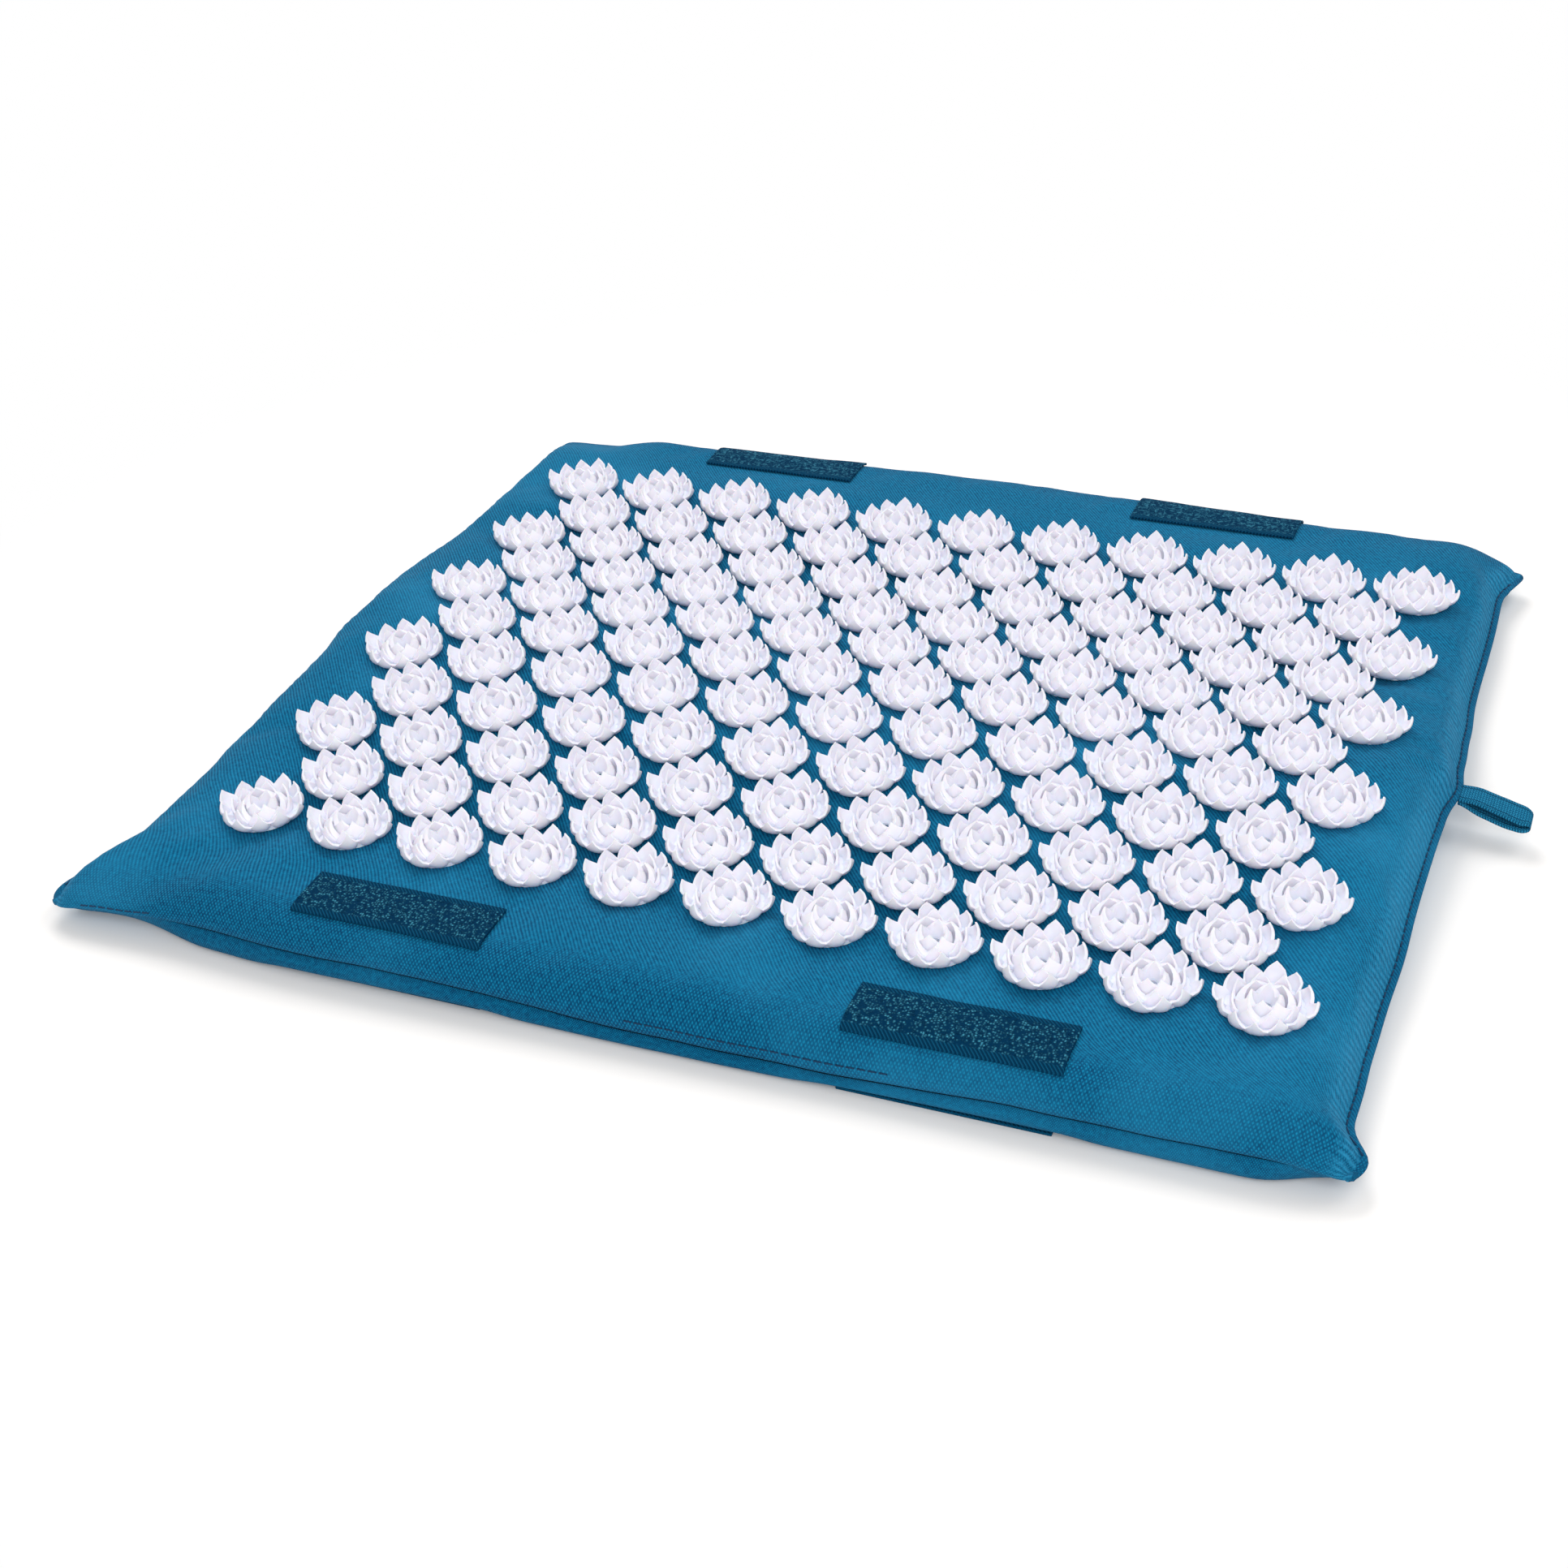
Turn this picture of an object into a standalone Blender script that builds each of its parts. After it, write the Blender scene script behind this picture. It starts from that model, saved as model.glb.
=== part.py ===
import math

import bmesh
import bpy
from mathutils import Matrix
from mathutils.geometry import delaunay_2d_cdt

# Acupressure mat: a foam slab sewn into a two-panel cotton cover, with rows of plastic lotus discs on top,
# hook-and-loop strips along its front and back edges and a hanging loop in its right-hand seam.
# X runs along the front edge, Y from front to back, Z up. The origin is under the middle, on the floor.

# Cover and foam
mat_width = 0.420
mat_depth = 0.355
edge_height = 0.0205
crown_rise = 0.0067
crown_half_length = 0.118
crown_offset = -0.019
fabric_thickness = 0.0009
sewing_gap = 0.0003
core_gap = 0.0005

# Seam: a flat flange, wide at the sides and narrow at the ends, drawn in towards an ear at each corner
side_flange = 0.0055
end_flange = 0.002
seam_height = 0.0085
seam_arch_share = 0.8
side_bow = 0.0035
end_bow = 0.0005
side_ear = 0.006
end_ear = 0.0005
ear_blunting = 0.0015
corner_pull = 0.008
corner_power = 12

# Rounded edges of the cushion above and below the seam
side_roll = 0.011
end_roll = 0.010
roll_fullness = 2.2
roll_step_shares = (0.12, 0.4, 1.0)
side_hem = 0.004
end_hem = 0.0025
hem_step_share = 0.2
hem_drop_share = 0.5
relief_run = 0.019
relief_ramp = 0.007
core_edge_inset = 0.0022
end_shares = (-1.0, -0.93, -0.8, -0.45, 0.0, 0.45, 0.8, 0.93, 1.0)
corner_share = 0.97

# Lotus discs: staggered rows, the odd rows one disc longer, spread over the mat inside its margins
row_count = 11
long_row_count = 11
side_margin = 0.039
end_margin = 0.0535
field_shift_x = 0.006
field_shift_y = -0.0026
disc_height = 0.0066
disc_fill_share = 0.963
disc_seat_gap = 0.0004
petal_step = math.radians(30)
petals_per_quarter = 3
small_tip_share = 0.9
base_shares = (0.98, 0.96, 0.84, 0.96)
base_angle_shares = (0.0, 1 / 3, 1 / 2, 2 / 3)
valley_radius_shares = (0.95, 0.84, 0.95)
valley_height_shares = (0.46, 0.34, 0.46)
well_radius_share = 0.66
well_height_share = 0.18
inner_tip_radius_share = 0.53
inner_tip_height_share = 0.98
inner_dip_radius_share = 0.36
inner_dip_height_share = 0.45
eyelet_radius = 0.0019

# Hook-and-loop strips
front_strip_length = 0.068
back_strip_length = 0.065
underside_strip_length = 0.066
strip_width = 0.020
strip_thickness = 0.0013
strip_spacing = 0.186
front_strip_inset = 0.0065
back_strip_inset = 0.0045
underside_strip_inset = 0.0015
strip_end_step_share = 0.25

# Hanging loop of folded tape
loop_length = 0.0245
loop_width = 0.0095
tape_thickness = 0.0011
loop_opening = 0.0027
loop_droop = 0.006
loop_drift = 0.0022
loop_place_y = 0.010
loop_arc_steps = 5
loop_run_steps = 6
loop_eye_start_share = 0.16
loop_peak_share = 0.8

# Meshing
smallest_step = 0.00001
sharpest_smooth_edge = math.radians(35)

half_width = mat_width / 2
half_depth = mat_depth / 2
disc_pitch = (mat_width - 2 * side_margin) / (long_row_count - 1)
row_pitch = (mat_depth - 2 * end_margin) / (row_count - 1)
nearest_disc = min(disc_pitch, math.hypot(disc_pitch / 2, row_pitch))
disc_radius = disc_fill_share * nearest_disc / 2
skin = fabric_thickness + sewing_gap / 2
core_clearance = fabric_thickness + core_gap
relief_height = strip_thickness + sewing_gap

cotton_blue = (0.015, 0.135, 0.285, 1.0)
strip_blue = (0.006, 0.075, 0.145, 1.0)
foam_white = (0.86, 0.84, 0.78, 1.0)
disc_white = (0.83, 0.83, 0.87, 1.0)


def clear_scene():
    for old in list(bpy.data.objects):
        bpy.data.objects.remove(old, do_unlink=True)


def make_material(name, colour, roughness):
    material = bpy.data.materials.new(name)
    material.use_nodes = True
    shader = material.node_tree.nodes["Principled BSDF"]
    shader.inputs["Base Color"].default_value = colour
    shader.inputs["Roughness"].default_value = roughness
    shader.inputs["Metallic"].default_value = 0.0
    return material


def mesh_from(bm, name):
    bmesh.ops.recalc_face_normals(bm, faces=bm.faces)
    mesh = bpy.data.meshes.new(name)
    bm.to_mesh(mesh)
    bm.free()
    mesh.shade_smooth()
    mesh.set_sharp_from_angle(angle=sharpest_smooth_edge)
    return mesh


def place(name, mesh, *materials):
    obj = bpy.data.objects.new(name, mesh)
    bpy.context.scene.collection.objects.link(obj)
    if not mesh.materials:
        for material in materials:
            mesh.materials.append(material)
    return obj


def crown(y):
    # The middle of the mat stands higher than its front and back ends.
    reach = min(abs(y - crown_offset) / crown_half_length, 1.0)
    return crown_rise * math.cos(reach * math.pi / 2) ** 2


def roll_rise(share):
    return (1 - (1 - share) ** roll_fullness) ** (1 / roll_fullness)


def row_y(row):
    return field_shift_y + (row - (row_count - 1) / 2) * row_pitch


def row_breaks():
    return [row_y(row - 0.5) for row in range(row_count + 1)]


def side_shares():
    # The points of the left and right sides fall on the lines between the rows of discs.
    inner_corner = half_depth - end_flange - end_roll - end_bow - corner_pull
    breaks = [y / inner_corner for y in row_breaks()]
    return [-1.0, -corner_share] + breaks + [corner_share, 1.0]


def grow(share, bow, reach):
    return reach * abs(share) ** corner_power - bow * share**2


def outline(inset_x, inset_y, reach_x, reach_y, blunting=0.0):
    """Points round the mat from its front left corner, inside its edge and reaching out at corners."""
    across = half_width - inset_x
    along = half_depth - inset_y
    corner_x = across + grow(1.0, side_bow, reach_x)
    corner_y = along + grow(1.0, end_bow, reach_y)
    sides = side_shares()
    front = [(s * corner_x, -(along + grow(s, end_bow, reach_y))) for s in end_shares[:-1]]
    right = [(across + grow(t, side_bow, reach_x), t * corner_y) for t in sides[:-1]]
    points = front + right
    points += [(-x, -y) for x, y in points]
    blunt = 1 - blunting / corner_x
    for corner in (0, len(front), len(front + right), len(front + right + front)):
        points[corner] = (points[corner][0] * blunt, points[corner][1] * blunt)
    return points


def top_levels():
    """Rings of the top panel from its edge inwards: (outline, rise from seam to top)."""
    root = (side_flange, end_flange, -corner_pull / 2, -corner_pull / 2)
    rings = [((0.0, 0.0, side_ear, end_ear, ear_blunting), 0.0), (root, 0.0)]
    for share in roll_step_shares:
        inset_x = side_flange + share * side_roll
        inset_y = end_flange + share * end_roll
        rings.append(((inset_x, inset_y, -corner_pull, -corner_pull), roll_rise(share)))
    return rings


def bottom_levels():
    """Rings of the bottom panel from its edge inwards: (outline, share of seam height, added height)."""
    root = (side_flange, end_flange, -corner_pull / 2, -corner_pull / 2)
    rings = [((0.0, 0.0, side_ear, end_ear, ear_blunting), 1.0, 0.0), (root, 1.0, 0.0)]
    steps = [
        (hem_step_share, 0.0, hem_drop_share, 0.0),
        (1.0, 0.0, 0.0, relief_height),
        (1.0, relief_run, 0.0, relief_height),
        (1.0, relief_run + relief_ramp, 0.0, 0.0),
    ]
    for hem, run, share, height in steps:
        inset_x = side_flange + hem * side_hem + run
        inset_y = end_flange + hem * end_hem + run
        rings.append(((inset_x, inset_y, -corner_pull, -corner_pull), share, height))
    return rings


def seam_z(y):
    return seam_height + seam_arch_share * crown(y)


def top_z(y, rise, drop=0.0):
    low = seam_z(y) + skin
    high = edge_height + crown(y)
    return low + (high - low) * rise - drop


def bottom_z(y, share, height, lift=0.0):
    return (seam_z(y) - skin) * share + height + lift


def ring_of(bm, points, height_at):
    return [bm.verts.new((x, y, height_at(y))) for x, y in points]


def join_rings(bm, outer, inner):
    count = len(outer)
    for i in range(count):
        j = (i + 1) % count
        bm.faces.new((outer[i], outer[j], inner[j], inner[i]))


def close_bands(bm, ring):
    """Closes a ring with one band for each row of discs, so that each row lies on its own flat face."""
    ends = len(end_shares) - 1
    sides = len(side_shares()) - 1
    right = ring[ends : ends + sides + 1]
    left = ring[2 * ends + sides :] + ring[:1]
    left.reverse()
    bm.faces.new(ring[: ends + 1] + [right[1], left[1]])
    for k in range(1, sides - 1):
        bm.faces.new((left[k], right[k], right[k + 1], left[k + 1]))
    back = ring[ends + sides : 2 * ends + sides + 1]
    bm.faces.new([left[sides - 1], right[sides - 1]] + back)


def shrunk(shape, shrink):
    return (shape[0] + shrink, shape[1] + shrink) + shape[2:]


def top_rings(bm, first, shrink):
    """The top's rings from number `first` inwards, drawn inside its outer face by `shrink`."""
    rings = []
    for number, (shape, rise) in enumerate(top_levels()):
        points = outline(*shrunk(shape, shrink if number else 0.0))
        rings.append(ring_of(bm, points, lambda y, rise=rise: top_z(y, rise, shrink)))
    return rings[first:]


def bottom_rings(bm, first, shrink):
    """The underside's rings from number `first` inwards, drawn inside its outer face by `shrink`."""
    rings = []
    for number, (shape, share, height) in enumerate(bottom_levels()):
        points = outline(*shrunk(shape, shrink if number else 0.0))
        level = lambda y, share=share, height=height: bottom_z(y, share, height, shrink)
        rings.append(ring_of(bm, points, level))
    return rings[first:]


def join_all(bm, rings):
    for outer, inner in zip(rings, rings[1:]):
        join_rings(bm, outer, inner)


def fill_round_discs(bm, boundary, holes, creases):
    """Fills the top inside its boundary, round the discs' bases, and again inside their eyelets."""
    loops = [boundary] + holes
    verts = [vert for loop in loops for vert in loop] + creases
    number = {vert: k for k, vert in enumerate(verts)}
    outlines = [[number[vert] for vert in loop] for loop in loops]
    points = [vert.co.xy for vert in verts]
    filled = delaunay_2d_cdt(points, [], outlines, 1, smallest_step)
    origins = filled[3]
    for triangle, owners in zip(filled[2], filled[5]):
        if len(owners) % 2 == 1:
            bm.faces.new([verts[origins[corner][0]] for corner in triangle])


def make_top_panel(cloth, plastic):
    """The crowned upper panel with its flange, and the discs inside the rim growing out of it."""
    bm = bmesh.new()
    outside = top_rings(bm, 0, 0.0)
    inside = top_rings(bm, 0, fabric_thickness)
    join_all(bm, outside)
    join_all(bm, inside)
    join_rings(bm, outside[0], inside[0])
    close_bands(bm, inside[-1])
    cloth_faces = len(bm.faces)
    breaks = row_breaks()
    holes = []
    under_rim_discs = set()
    for row, column, seat in disc_places():
        if on_rim(row, column):
            under_rim_discs.update((disc_x(row, column), y) for y in breaks[row : row + 2])
        else:
            holes += add_disc(bm, seat, sits_on_cloth=True)
    bm.faces.ensure_lookup_table()
    for face in bm.faces[cloth_faces:]:
        face.material_index = 1
    creases = [bm.verts.new((x, y, top_z(y, 1.0))) for x, y in sorted(under_rim_discs)]
    fill_round_discs(bm, outside[-1], holes, creases)
    place("top_panel", mesh_from(bm, "top_panel"), cloth, plastic)


def make_bottom_panel(material):
    bm = bmesh.new()
    outside = bottom_rings(bm, 0, 0.0)
    inside = bottom_rings(bm, 0, fabric_thickness)
    join_all(bm, outside)
    join_all(bm, inside)
    join_rings(bm, outside[0], inside[0])
    bm.faces.new(outside[-1])
    bm.faces.new(inside[-1])
    place("bottom_panel", mesh_from(bm, "bottom_panel"), material)


def make_foam_core(material):
    """The slab inside the cover: the same rounded shape, a fabric and a small gap smaller all round."""
    bm = bmesh.new()
    shape = (side_flange + core_edge_inset, end_flange + core_edge_inset, -corner_pull, -corner_pull)
    waist = ring_of(bm, outline(*shape), seam_z)
    above = [waist] + top_rings(bm, 2, core_clearance)
    below = [waist] + bottom_rings(bm, 2, core_clearance)
    join_all(bm, above)
    join_all(bm, below)
    close_bands(bm, above[-1])
    bm.faces.new(below[-1])
    place("foam_core", mesh_from(bm, "foam_core"), material)


def ring_at(bm, places):
    """A ring of points from (angle, radius, height), kept with their angles."""
    ring = []
    for angle, radius, height in places:
        vert = bm.verts.new((radius * math.cos(angle), radius * math.sin(angle), height))
        ring.append((angle, vert))
    return ring


def zip_rings(bm, first, second):
    """Fills the band between two rings of different counts, always taking the shorter diagonal."""
    turn = 2 * math.pi
    counts = (len(first), len(second))
    i = j = 0
    while i < counts[0] or j < counts[1]:
        angle_i = first[i % counts[0]][0] + turn * (i // counts[0])
        angle_j = second[j % counts[1]][0] + turn * (j // counts[1])
        next_i = first[(i + 1) % counts[0]][0] + turn * ((i + 1) // counts[0])
        next_j = second[(j + 1) % counts[1]][0] + turn * ((j + 1) // counts[1])
        a = first[i % counts[0]][1]
        b = second[j % counts[1]][1]
        if j >= counts[1] or (i < counts[0] and abs(next_i - angle_j) <= abs(next_j - angle_i)):
            bm.faces.new((a, first[(i + 1) % counts[0]][1], b))
            i += 1
        else:
            bm.faces.new((a, second[(j + 1) % counts[1]][1], b))
            j += 1


def disc_rings():
    """Rings of (angle, radius, height): lobed base, petal tips, well, inner crown and eyelet."""
    quarter = petal_step * petals_per_quarter
    base = []
    tips = []
    well = []
    inner = []
    eyelet = []
    for k in range(4):
        start = k * quarter
        middle = start + quarter / 2
        for share, radius_share in zip(base_angle_shares, base_shares):
            base.append((start + share * quarter, radius_share * disc_radius, 0.0))
        for petal in range(petals_per_quarter):
            angle = start + petal * petal_step
            reach = disc_radius if petal == 0 else disc_radius * small_tip_share
            dip = valley_radius_shares[petal] * disc_radius
            tips.append((angle, reach, disc_height))
            tips.append((angle + petal_step / 2, dip, valley_height_shares[petal] * disc_height))
        well.append((start, well_radius_share * disc_radius, well_height_share * disc_height))
        well.append((middle, well_radius_share * disc_radius, well_height_share * disc_height))
        inner.append((start, inner_dip_radius_share * disc_radius, inner_dip_height_share * disc_height))
        inner.append((middle, inner_tip_radius_share * disc_radius, inner_tip_height_share * disc_height))
        eyelet.append((middle, eyelet_radius, 0.0))
    return base, tips, well, inner, eyelet


def add_disc(bm, seat, sits_on_cloth):
    """Adds a disc at its seat. On cloth its base and eyelet are left open, in the cloth's own face."""
    rings = [ring_at(bm, places) for places in disc_rings()]
    for ring in rings:
        for angle, vert in ring:
            vert.co = seat @ vert.co
    for first, second in zip(rings, rings[1:]):
        zip_rings(bm, first, second)
    base, eyelet = rings[0], rings[-1]
    if not sits_on_cloth:
        zip_rings(bm, eyelet, base)
        return []
    for angle, vert in base + eyelet:
        vert.co.z = top_z(vert.co.y, 1.0)
    return [[vert for angle, vert in base], [vert for angle, vert in eyelet]]


def lotus_disc_mesh():
    bm = bmesh.new()
    add_disc(bm, Matrix.Identity(4), sits_on_cloth=False)
    return mesh_from(bm, "lotus_disc")


def row_length(row):
    return long_row_count if row % 2 == 0 else long_row_count - 1


def disc_x(row, column):
    return field_shift_x + (column - (row_length(row) - 1) / 2) * disc_pitch


def on_rim(row, column):
    return row in (0, row_count - 1) or column in (0, row_length(row) - 1)


def disc_places():
    """(row, column, place and tilt on the flat band of its row)."""
    breaks = row_breaks()
    for row in range(row_count):
        front, back = breaks[row], breaks[row + 1]
        low, high = top_z(front, 1.0), top_z(back, 1.0)
        tilt = Matrix.Rotation(math.atan2(high - low, back - front), 4, "X")
        for column in range(row_length(row)):
            place_at = Matrix.Translation((disc_x(row, column), row_y(row), (low + high) / 2))
            yield row, column, place_at @ tilt


def make_rim_discs(material):
    mesh = lotus_disc_mesh()
    for row, column, seat in disc_places():
        if not on_rim(row, column):
            continue
        disc = place(f"lotus_disc_r{row + 1:02d}_c{column + 1:02d}", mesh, material)
        disc.matrix_world = seat @ Matrix.Translation((0.0, 0.0, disc_seat_gap))


def strip_solid(name, stations, centre_x, length, side, material):
    """A strip whose section across its width is given as (inset from the mat's edge, low, high)."""
    bm = bmesh.new()
    columns = []
    for step in (-1.0, -strip_end_step_share, strip_end_step_share, 1.0):
        x = centre_x + step * length / 2
        edge = half_depth + grow(x / half_width, end_bow, 0.0)
        lower = [bm.verts.new((x, side * (edge - inset), low)) for inset, low, high in stations]
        upper = [bm.verts.new((x, side * (edge - inset), high)) for inset, low, high in stations]
        columns.append(lower + upper[::-1])
    for first, second in zip(columns, columns[1:]):
        join_rings(bm, first, second)
    count = len(stations)
    for column in (columns[0], columns[-1]):
        for k in range(count - 1):
            bm.faces.new((column[k], column[k + 1], column[-k - 2], column[-k - 1]))
    place(name, mesh_from(bm, name), material)


def make_top_strips(material):
    """Four strips on the top panel, bent over its front and back rolls."""
    knots = [end_flange + share * end_roll for share in roll_step_shares]
    heights = [roll_rise(share) for share in roll_step_shares]

    def rise_at(inset):
        if inset >= knots[-1]:
            return heights[-1]
        for (d0, h0), (d1, h1) in zip(zip(knots, heights), zip(knots[1:], heights[1:])):
            if inset <= d1:
                return h0 + (h1 - h0) * (inset - d0) / (d1 - d0)

    edges = (
        (-1, "front", front_strip_inset, front_strip_length),
        (1, "back", back_strip_inset, back_strip_length),
    )
    for side, place_name, start, length in edges:
        ends = (start, start + strip_width)
        insets = sorted(set(ends) | {d for d in knots if ends[0] < d < ends[1]})
        stations = []
        for inset in insets:
            low = top_z(side * (half_depth - inset), rise_at(inset)) + disc_seat_gap
            stations.append((inset, low, low + strip_thickness))
        for hand, hand_name in ((-1, "left"), (1, "right")):
            name = f"top_strip_{place_name}_{hand_name}"
            strip_solid(name, stations, hand * strip_spacing / 2, length, side, material)


def make_underside_strips(material):
    """Four strips that lie flat in the relief under the front and back edges."""
    ends = (underside_strip_inset, underside_strip_inset + strip_width)
    stations = [(inset, 0.0, strip_thickness) for inset in ends]
    for side, place_name in ((-1, "front"), (1, "back")):
        for hand, hand_name in ((-1, "left"), (1, "right")):
            name = f"underside_strip_{place_name}_{hand_name}"
            length = underside_strip_length
            strip_solid(name, stations, hand * strip_spacing / 2, length, side, material)


def loop_outline(start, end, thin, wide):
    """A closed outline (along, up) round the tape: thin at its nose and wide at its fold."""
    points = []
    for k in range(loop_arc_steps + 1):
        angle = math.radians(270) - k * math.pi / loop_arc_steps
        points.append((start + thin * math.cos(angle), thin * math.sin(angle)))
    for k in range(1, loop_run_steps):
        share = k / loop_run_steps
        swell = thin + (wide - thin) * math.sin(min(share / loop_peak_share, 1.0) * math.pi / 2) ** 2
        points.append((start + (end - start) * share, swell))
    for k in range(loop_arc_steps + 1):
        angle = math.radians(90) - k * math.pi / loop_arc_steps
        points.append((end + wide * math.cos(angle), wide * math.sin(angle)))
    for k in range(loop_run_steps - 1, 0, -1):
        share = k / loop_run_steps
        swell = thin + (wide - thin) * math.sin(min(share / loop_peak_share, 1.0) * math.pi / 2) ** 2
        points.append((start + (end - start) * share, -swell))
    return points


def make_hanging_loop(material):
    """Folded tape at the right seam. It hinges about its rounded nose, just clear of the flange."""
    nose = tape_thickness
    fold = tape_thickness + loop_opening / 2
    eye = loop_opening / 2
    end = loop_length - nose - fold
    outer = loop_outline(0.0, end, nose, fold)
    inner = loop_outline(loop_eye_start_share * loop_length, end, sewing_gap, eye)
    hinge_x = half_width + grow(loop_place_y / half_depth, side_bow, 0.0) + sewing_gap + nose
    hinge_z = seam_z(loop_place_y)

    bm = bmesh.new()

    def section(points, across):
        ring = []
        for along, up in points:
            share = max(along, 0.0) / loop_length
            x = along
            y = across * loop_width / 2 - loop_drift * share
            z = up - loop_droop * share**2
            ring.append(bm.verts.new((x, y, z)))
        return ring

    near_outer, far_outer = section(outer, -1), section(outer, 1)
    near_inner, far_inner = section(inner, -1), section(inner, 1)
    join_rings(bm, near_outer, far_outer)
    join_rings(bm, near_inner, far_inner)
    join_rings(bm, near_outer, near_inner)
    join_rings(bm, far_outer, far_inner)
    loop = place("hanging_loop", mesh_from(bm, "hanging_loop"), material)
    loop.location = (hinge_x, loop_place_y, hinge_z)


def main():
    clear_scene()
    cotton = make_material("cotton_canvas", cotton_blue, 0.9)
    tape = make_material("cotton_tape", cotton_blue, 0.9)
    fastener = make_material("hook_and_loop", strip_blue, 0.8)
    foam = make_material("foam", foam_white, 0.95)
    plastic = make_material("white_plastic", disc_white, 0.4)
    make_foam_core(foam)
    make_bottom_panel(cotton)
    make_top_panel(cotton, plastic)
    make_rim_discs(plastic)
    make_top_strips(fastener)
    make_underside_strips(fastener)
    make_hanging_loop(tape)


main()
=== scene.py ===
import math
import random

import bmesh
import bpy
from mathutils import Matrix, Vector, noise
from mathutils.bvhtree import BVHTree


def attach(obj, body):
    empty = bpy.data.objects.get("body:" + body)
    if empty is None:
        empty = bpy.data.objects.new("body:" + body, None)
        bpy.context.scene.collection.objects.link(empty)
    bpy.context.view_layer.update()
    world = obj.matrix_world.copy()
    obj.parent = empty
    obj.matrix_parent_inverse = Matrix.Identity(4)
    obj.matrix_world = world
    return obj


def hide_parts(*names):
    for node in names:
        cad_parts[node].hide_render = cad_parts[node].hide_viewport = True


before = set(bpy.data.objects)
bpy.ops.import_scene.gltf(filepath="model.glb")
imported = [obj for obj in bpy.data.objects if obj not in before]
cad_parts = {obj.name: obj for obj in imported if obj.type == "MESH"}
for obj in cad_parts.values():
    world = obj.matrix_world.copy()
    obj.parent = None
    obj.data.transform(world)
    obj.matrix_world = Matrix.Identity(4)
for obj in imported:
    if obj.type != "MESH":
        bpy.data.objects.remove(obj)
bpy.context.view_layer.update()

random.seed(7)
print("frame loaded:", len(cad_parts), "CAD nodes")


# small helpers for meshes and materials

def show(item):
    bpy.context.scene.collection.objects.link(item)


def pieceFrom(bm, name, material, body="mat"):
    # a finished piece at the origin, its place in its mesh, riding on its body
    mesh = bpy.data.meshes.new(name)
    bm.to_mesh(mesh)
    bm.free()
    piece = bpy.data.objects.new(name, mesh)
    show(piece)
    mesh.materials.append(material)
    for face in mesh.polygons:
        face.use_smooth = True
    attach(piece, body)
    return piece


def workInModifiers(piece):
    graph = bpy.context.evaluated_depsgraph_get()
    shaped = piece.evaluated_get(graph)
    mesh = bpy.data.meshes.new_from_object(shaped, preserve_all_data_layers=True, depsgraph=graph)
    piece.modifiers.clear()
    piece.data = mesh


def clamp(value, low=0.0, high=1.0):
    return max(low, min(high, value))


def smoothStep(value, low, high):
    share = clamp((value - low) / (high - low))
    return share * share * (3 - 2 * share)


def sideOf(place):
    return 1 if place > 0 else -1


def newFinish(name):
    material = bpy.data.materials.new(name)
    material.use_nodes = True
    material.node_tree.nodes.clear()
    return material


def node(material, kind, inputs=None, **settings):
    # a node in a material or world; an input is a value or another node's output
    made = material.node_tree.nodes.new("ShaderNode" + kind)
    for key, value in settings.items():
        setattr(made, key, value)
    for key, value in (inputs or {}).items():
        if isinstance(value, bpy.types.NodeSocket):
            material.node_tree.links.new(value, made.inputs[key])
        else:
            made.inputs[key].default_value = value
    return made


def maths(material, operation, first, second=0.0, third=0.0):
    made = node(material, "Math", {0: first, 1: second, 2: third}, operation=operation)
    return made.outputs[0]


def times(material, first, second):
    return maths(material, "MULTIPLY", first, second)


def timesPlus(material, first, second, third):
    return maths(material, "MULTIPLY_ADD", first, second, third)


def clouds(material, spot, scale, detail=2.0, **more):
    made = node(material, "TexNoise", {"Vector": spot, "Scale": scale, "Detail": detail, **more})
    return made.outputs[0]


def clothPlace(material):
    # the place on the cloth's map, and its two parts
    spot = node(material, "UVMap", uv_map="cloth").outputs[0]
    parts = node(material, "SeparateXYZ", {0: spot})
    return spot, parts.outputs[0], parts.outputs[1]


def wave(material, along, period, shift=0.0):
    # 0 to 1 and back, once for each period along a coordinate in metres
    turns = timesPlus(material, along, 2 * math.pi / period, shift)
    return timesPlus(material, maths(material, "SINE", turns), 0.5, 0.5)


def mixed(material, share, first, second):
    made = node(material, "Mix", {"Factor": share, "A": first, "B": second}, data_type="FLOAT")
    return made.outputs[0]


def tinted(material, share, first, second):
    # inputs 6 and 7 of a mix node are its two colours
    made = node(material, "Mix", {0: share, 6: first, 7: second}, data_type="RGBA")
    return made.outputs[2]


def ramped(material, value, low, high, first=0.0, second=1.0):
    made = node(
        material, "MapRange",
        {"Value": value, "From Min": low, "From Max": high, "To Min": first, "To Max": second},
        interpolation_type="SMOOTHSTEP",
    )
    return made.outputs["Result"]


def finished(material, colour, roughness, height, bump, **constants):
    # the roughness is given as (share, first, second), and the bump as (strength, distance)
    strength, distance = bump
    relief = node(material, "Bump", {"Strength": strength, "Distance": distance, "Height": height})
    shader = node(
        material, "BsdfPrincipled",
        {"Base Color": colour, "Roughness": mixed(material, *roughness), "Normal": relief.outputs[0]},
    )
    for key, value in constants.items():
        shader.inputs[key.replace("_", " ")].default_value = value
    node(material, "OutputMaterial", {0: shader.outputs[0]})
    return material


def rgb(red, green, blue):
    # a colour as the eye names it, in 0 to 255, made linear
    def linear(part):
        part /= 255
        return part / 12.92 if part <= 0.04045 else ((part + 0.055) / 1.055) ** 2.4
    return (linear(red), linear(green), linear(blue), 1.0)


# camera, floor and studio light

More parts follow.
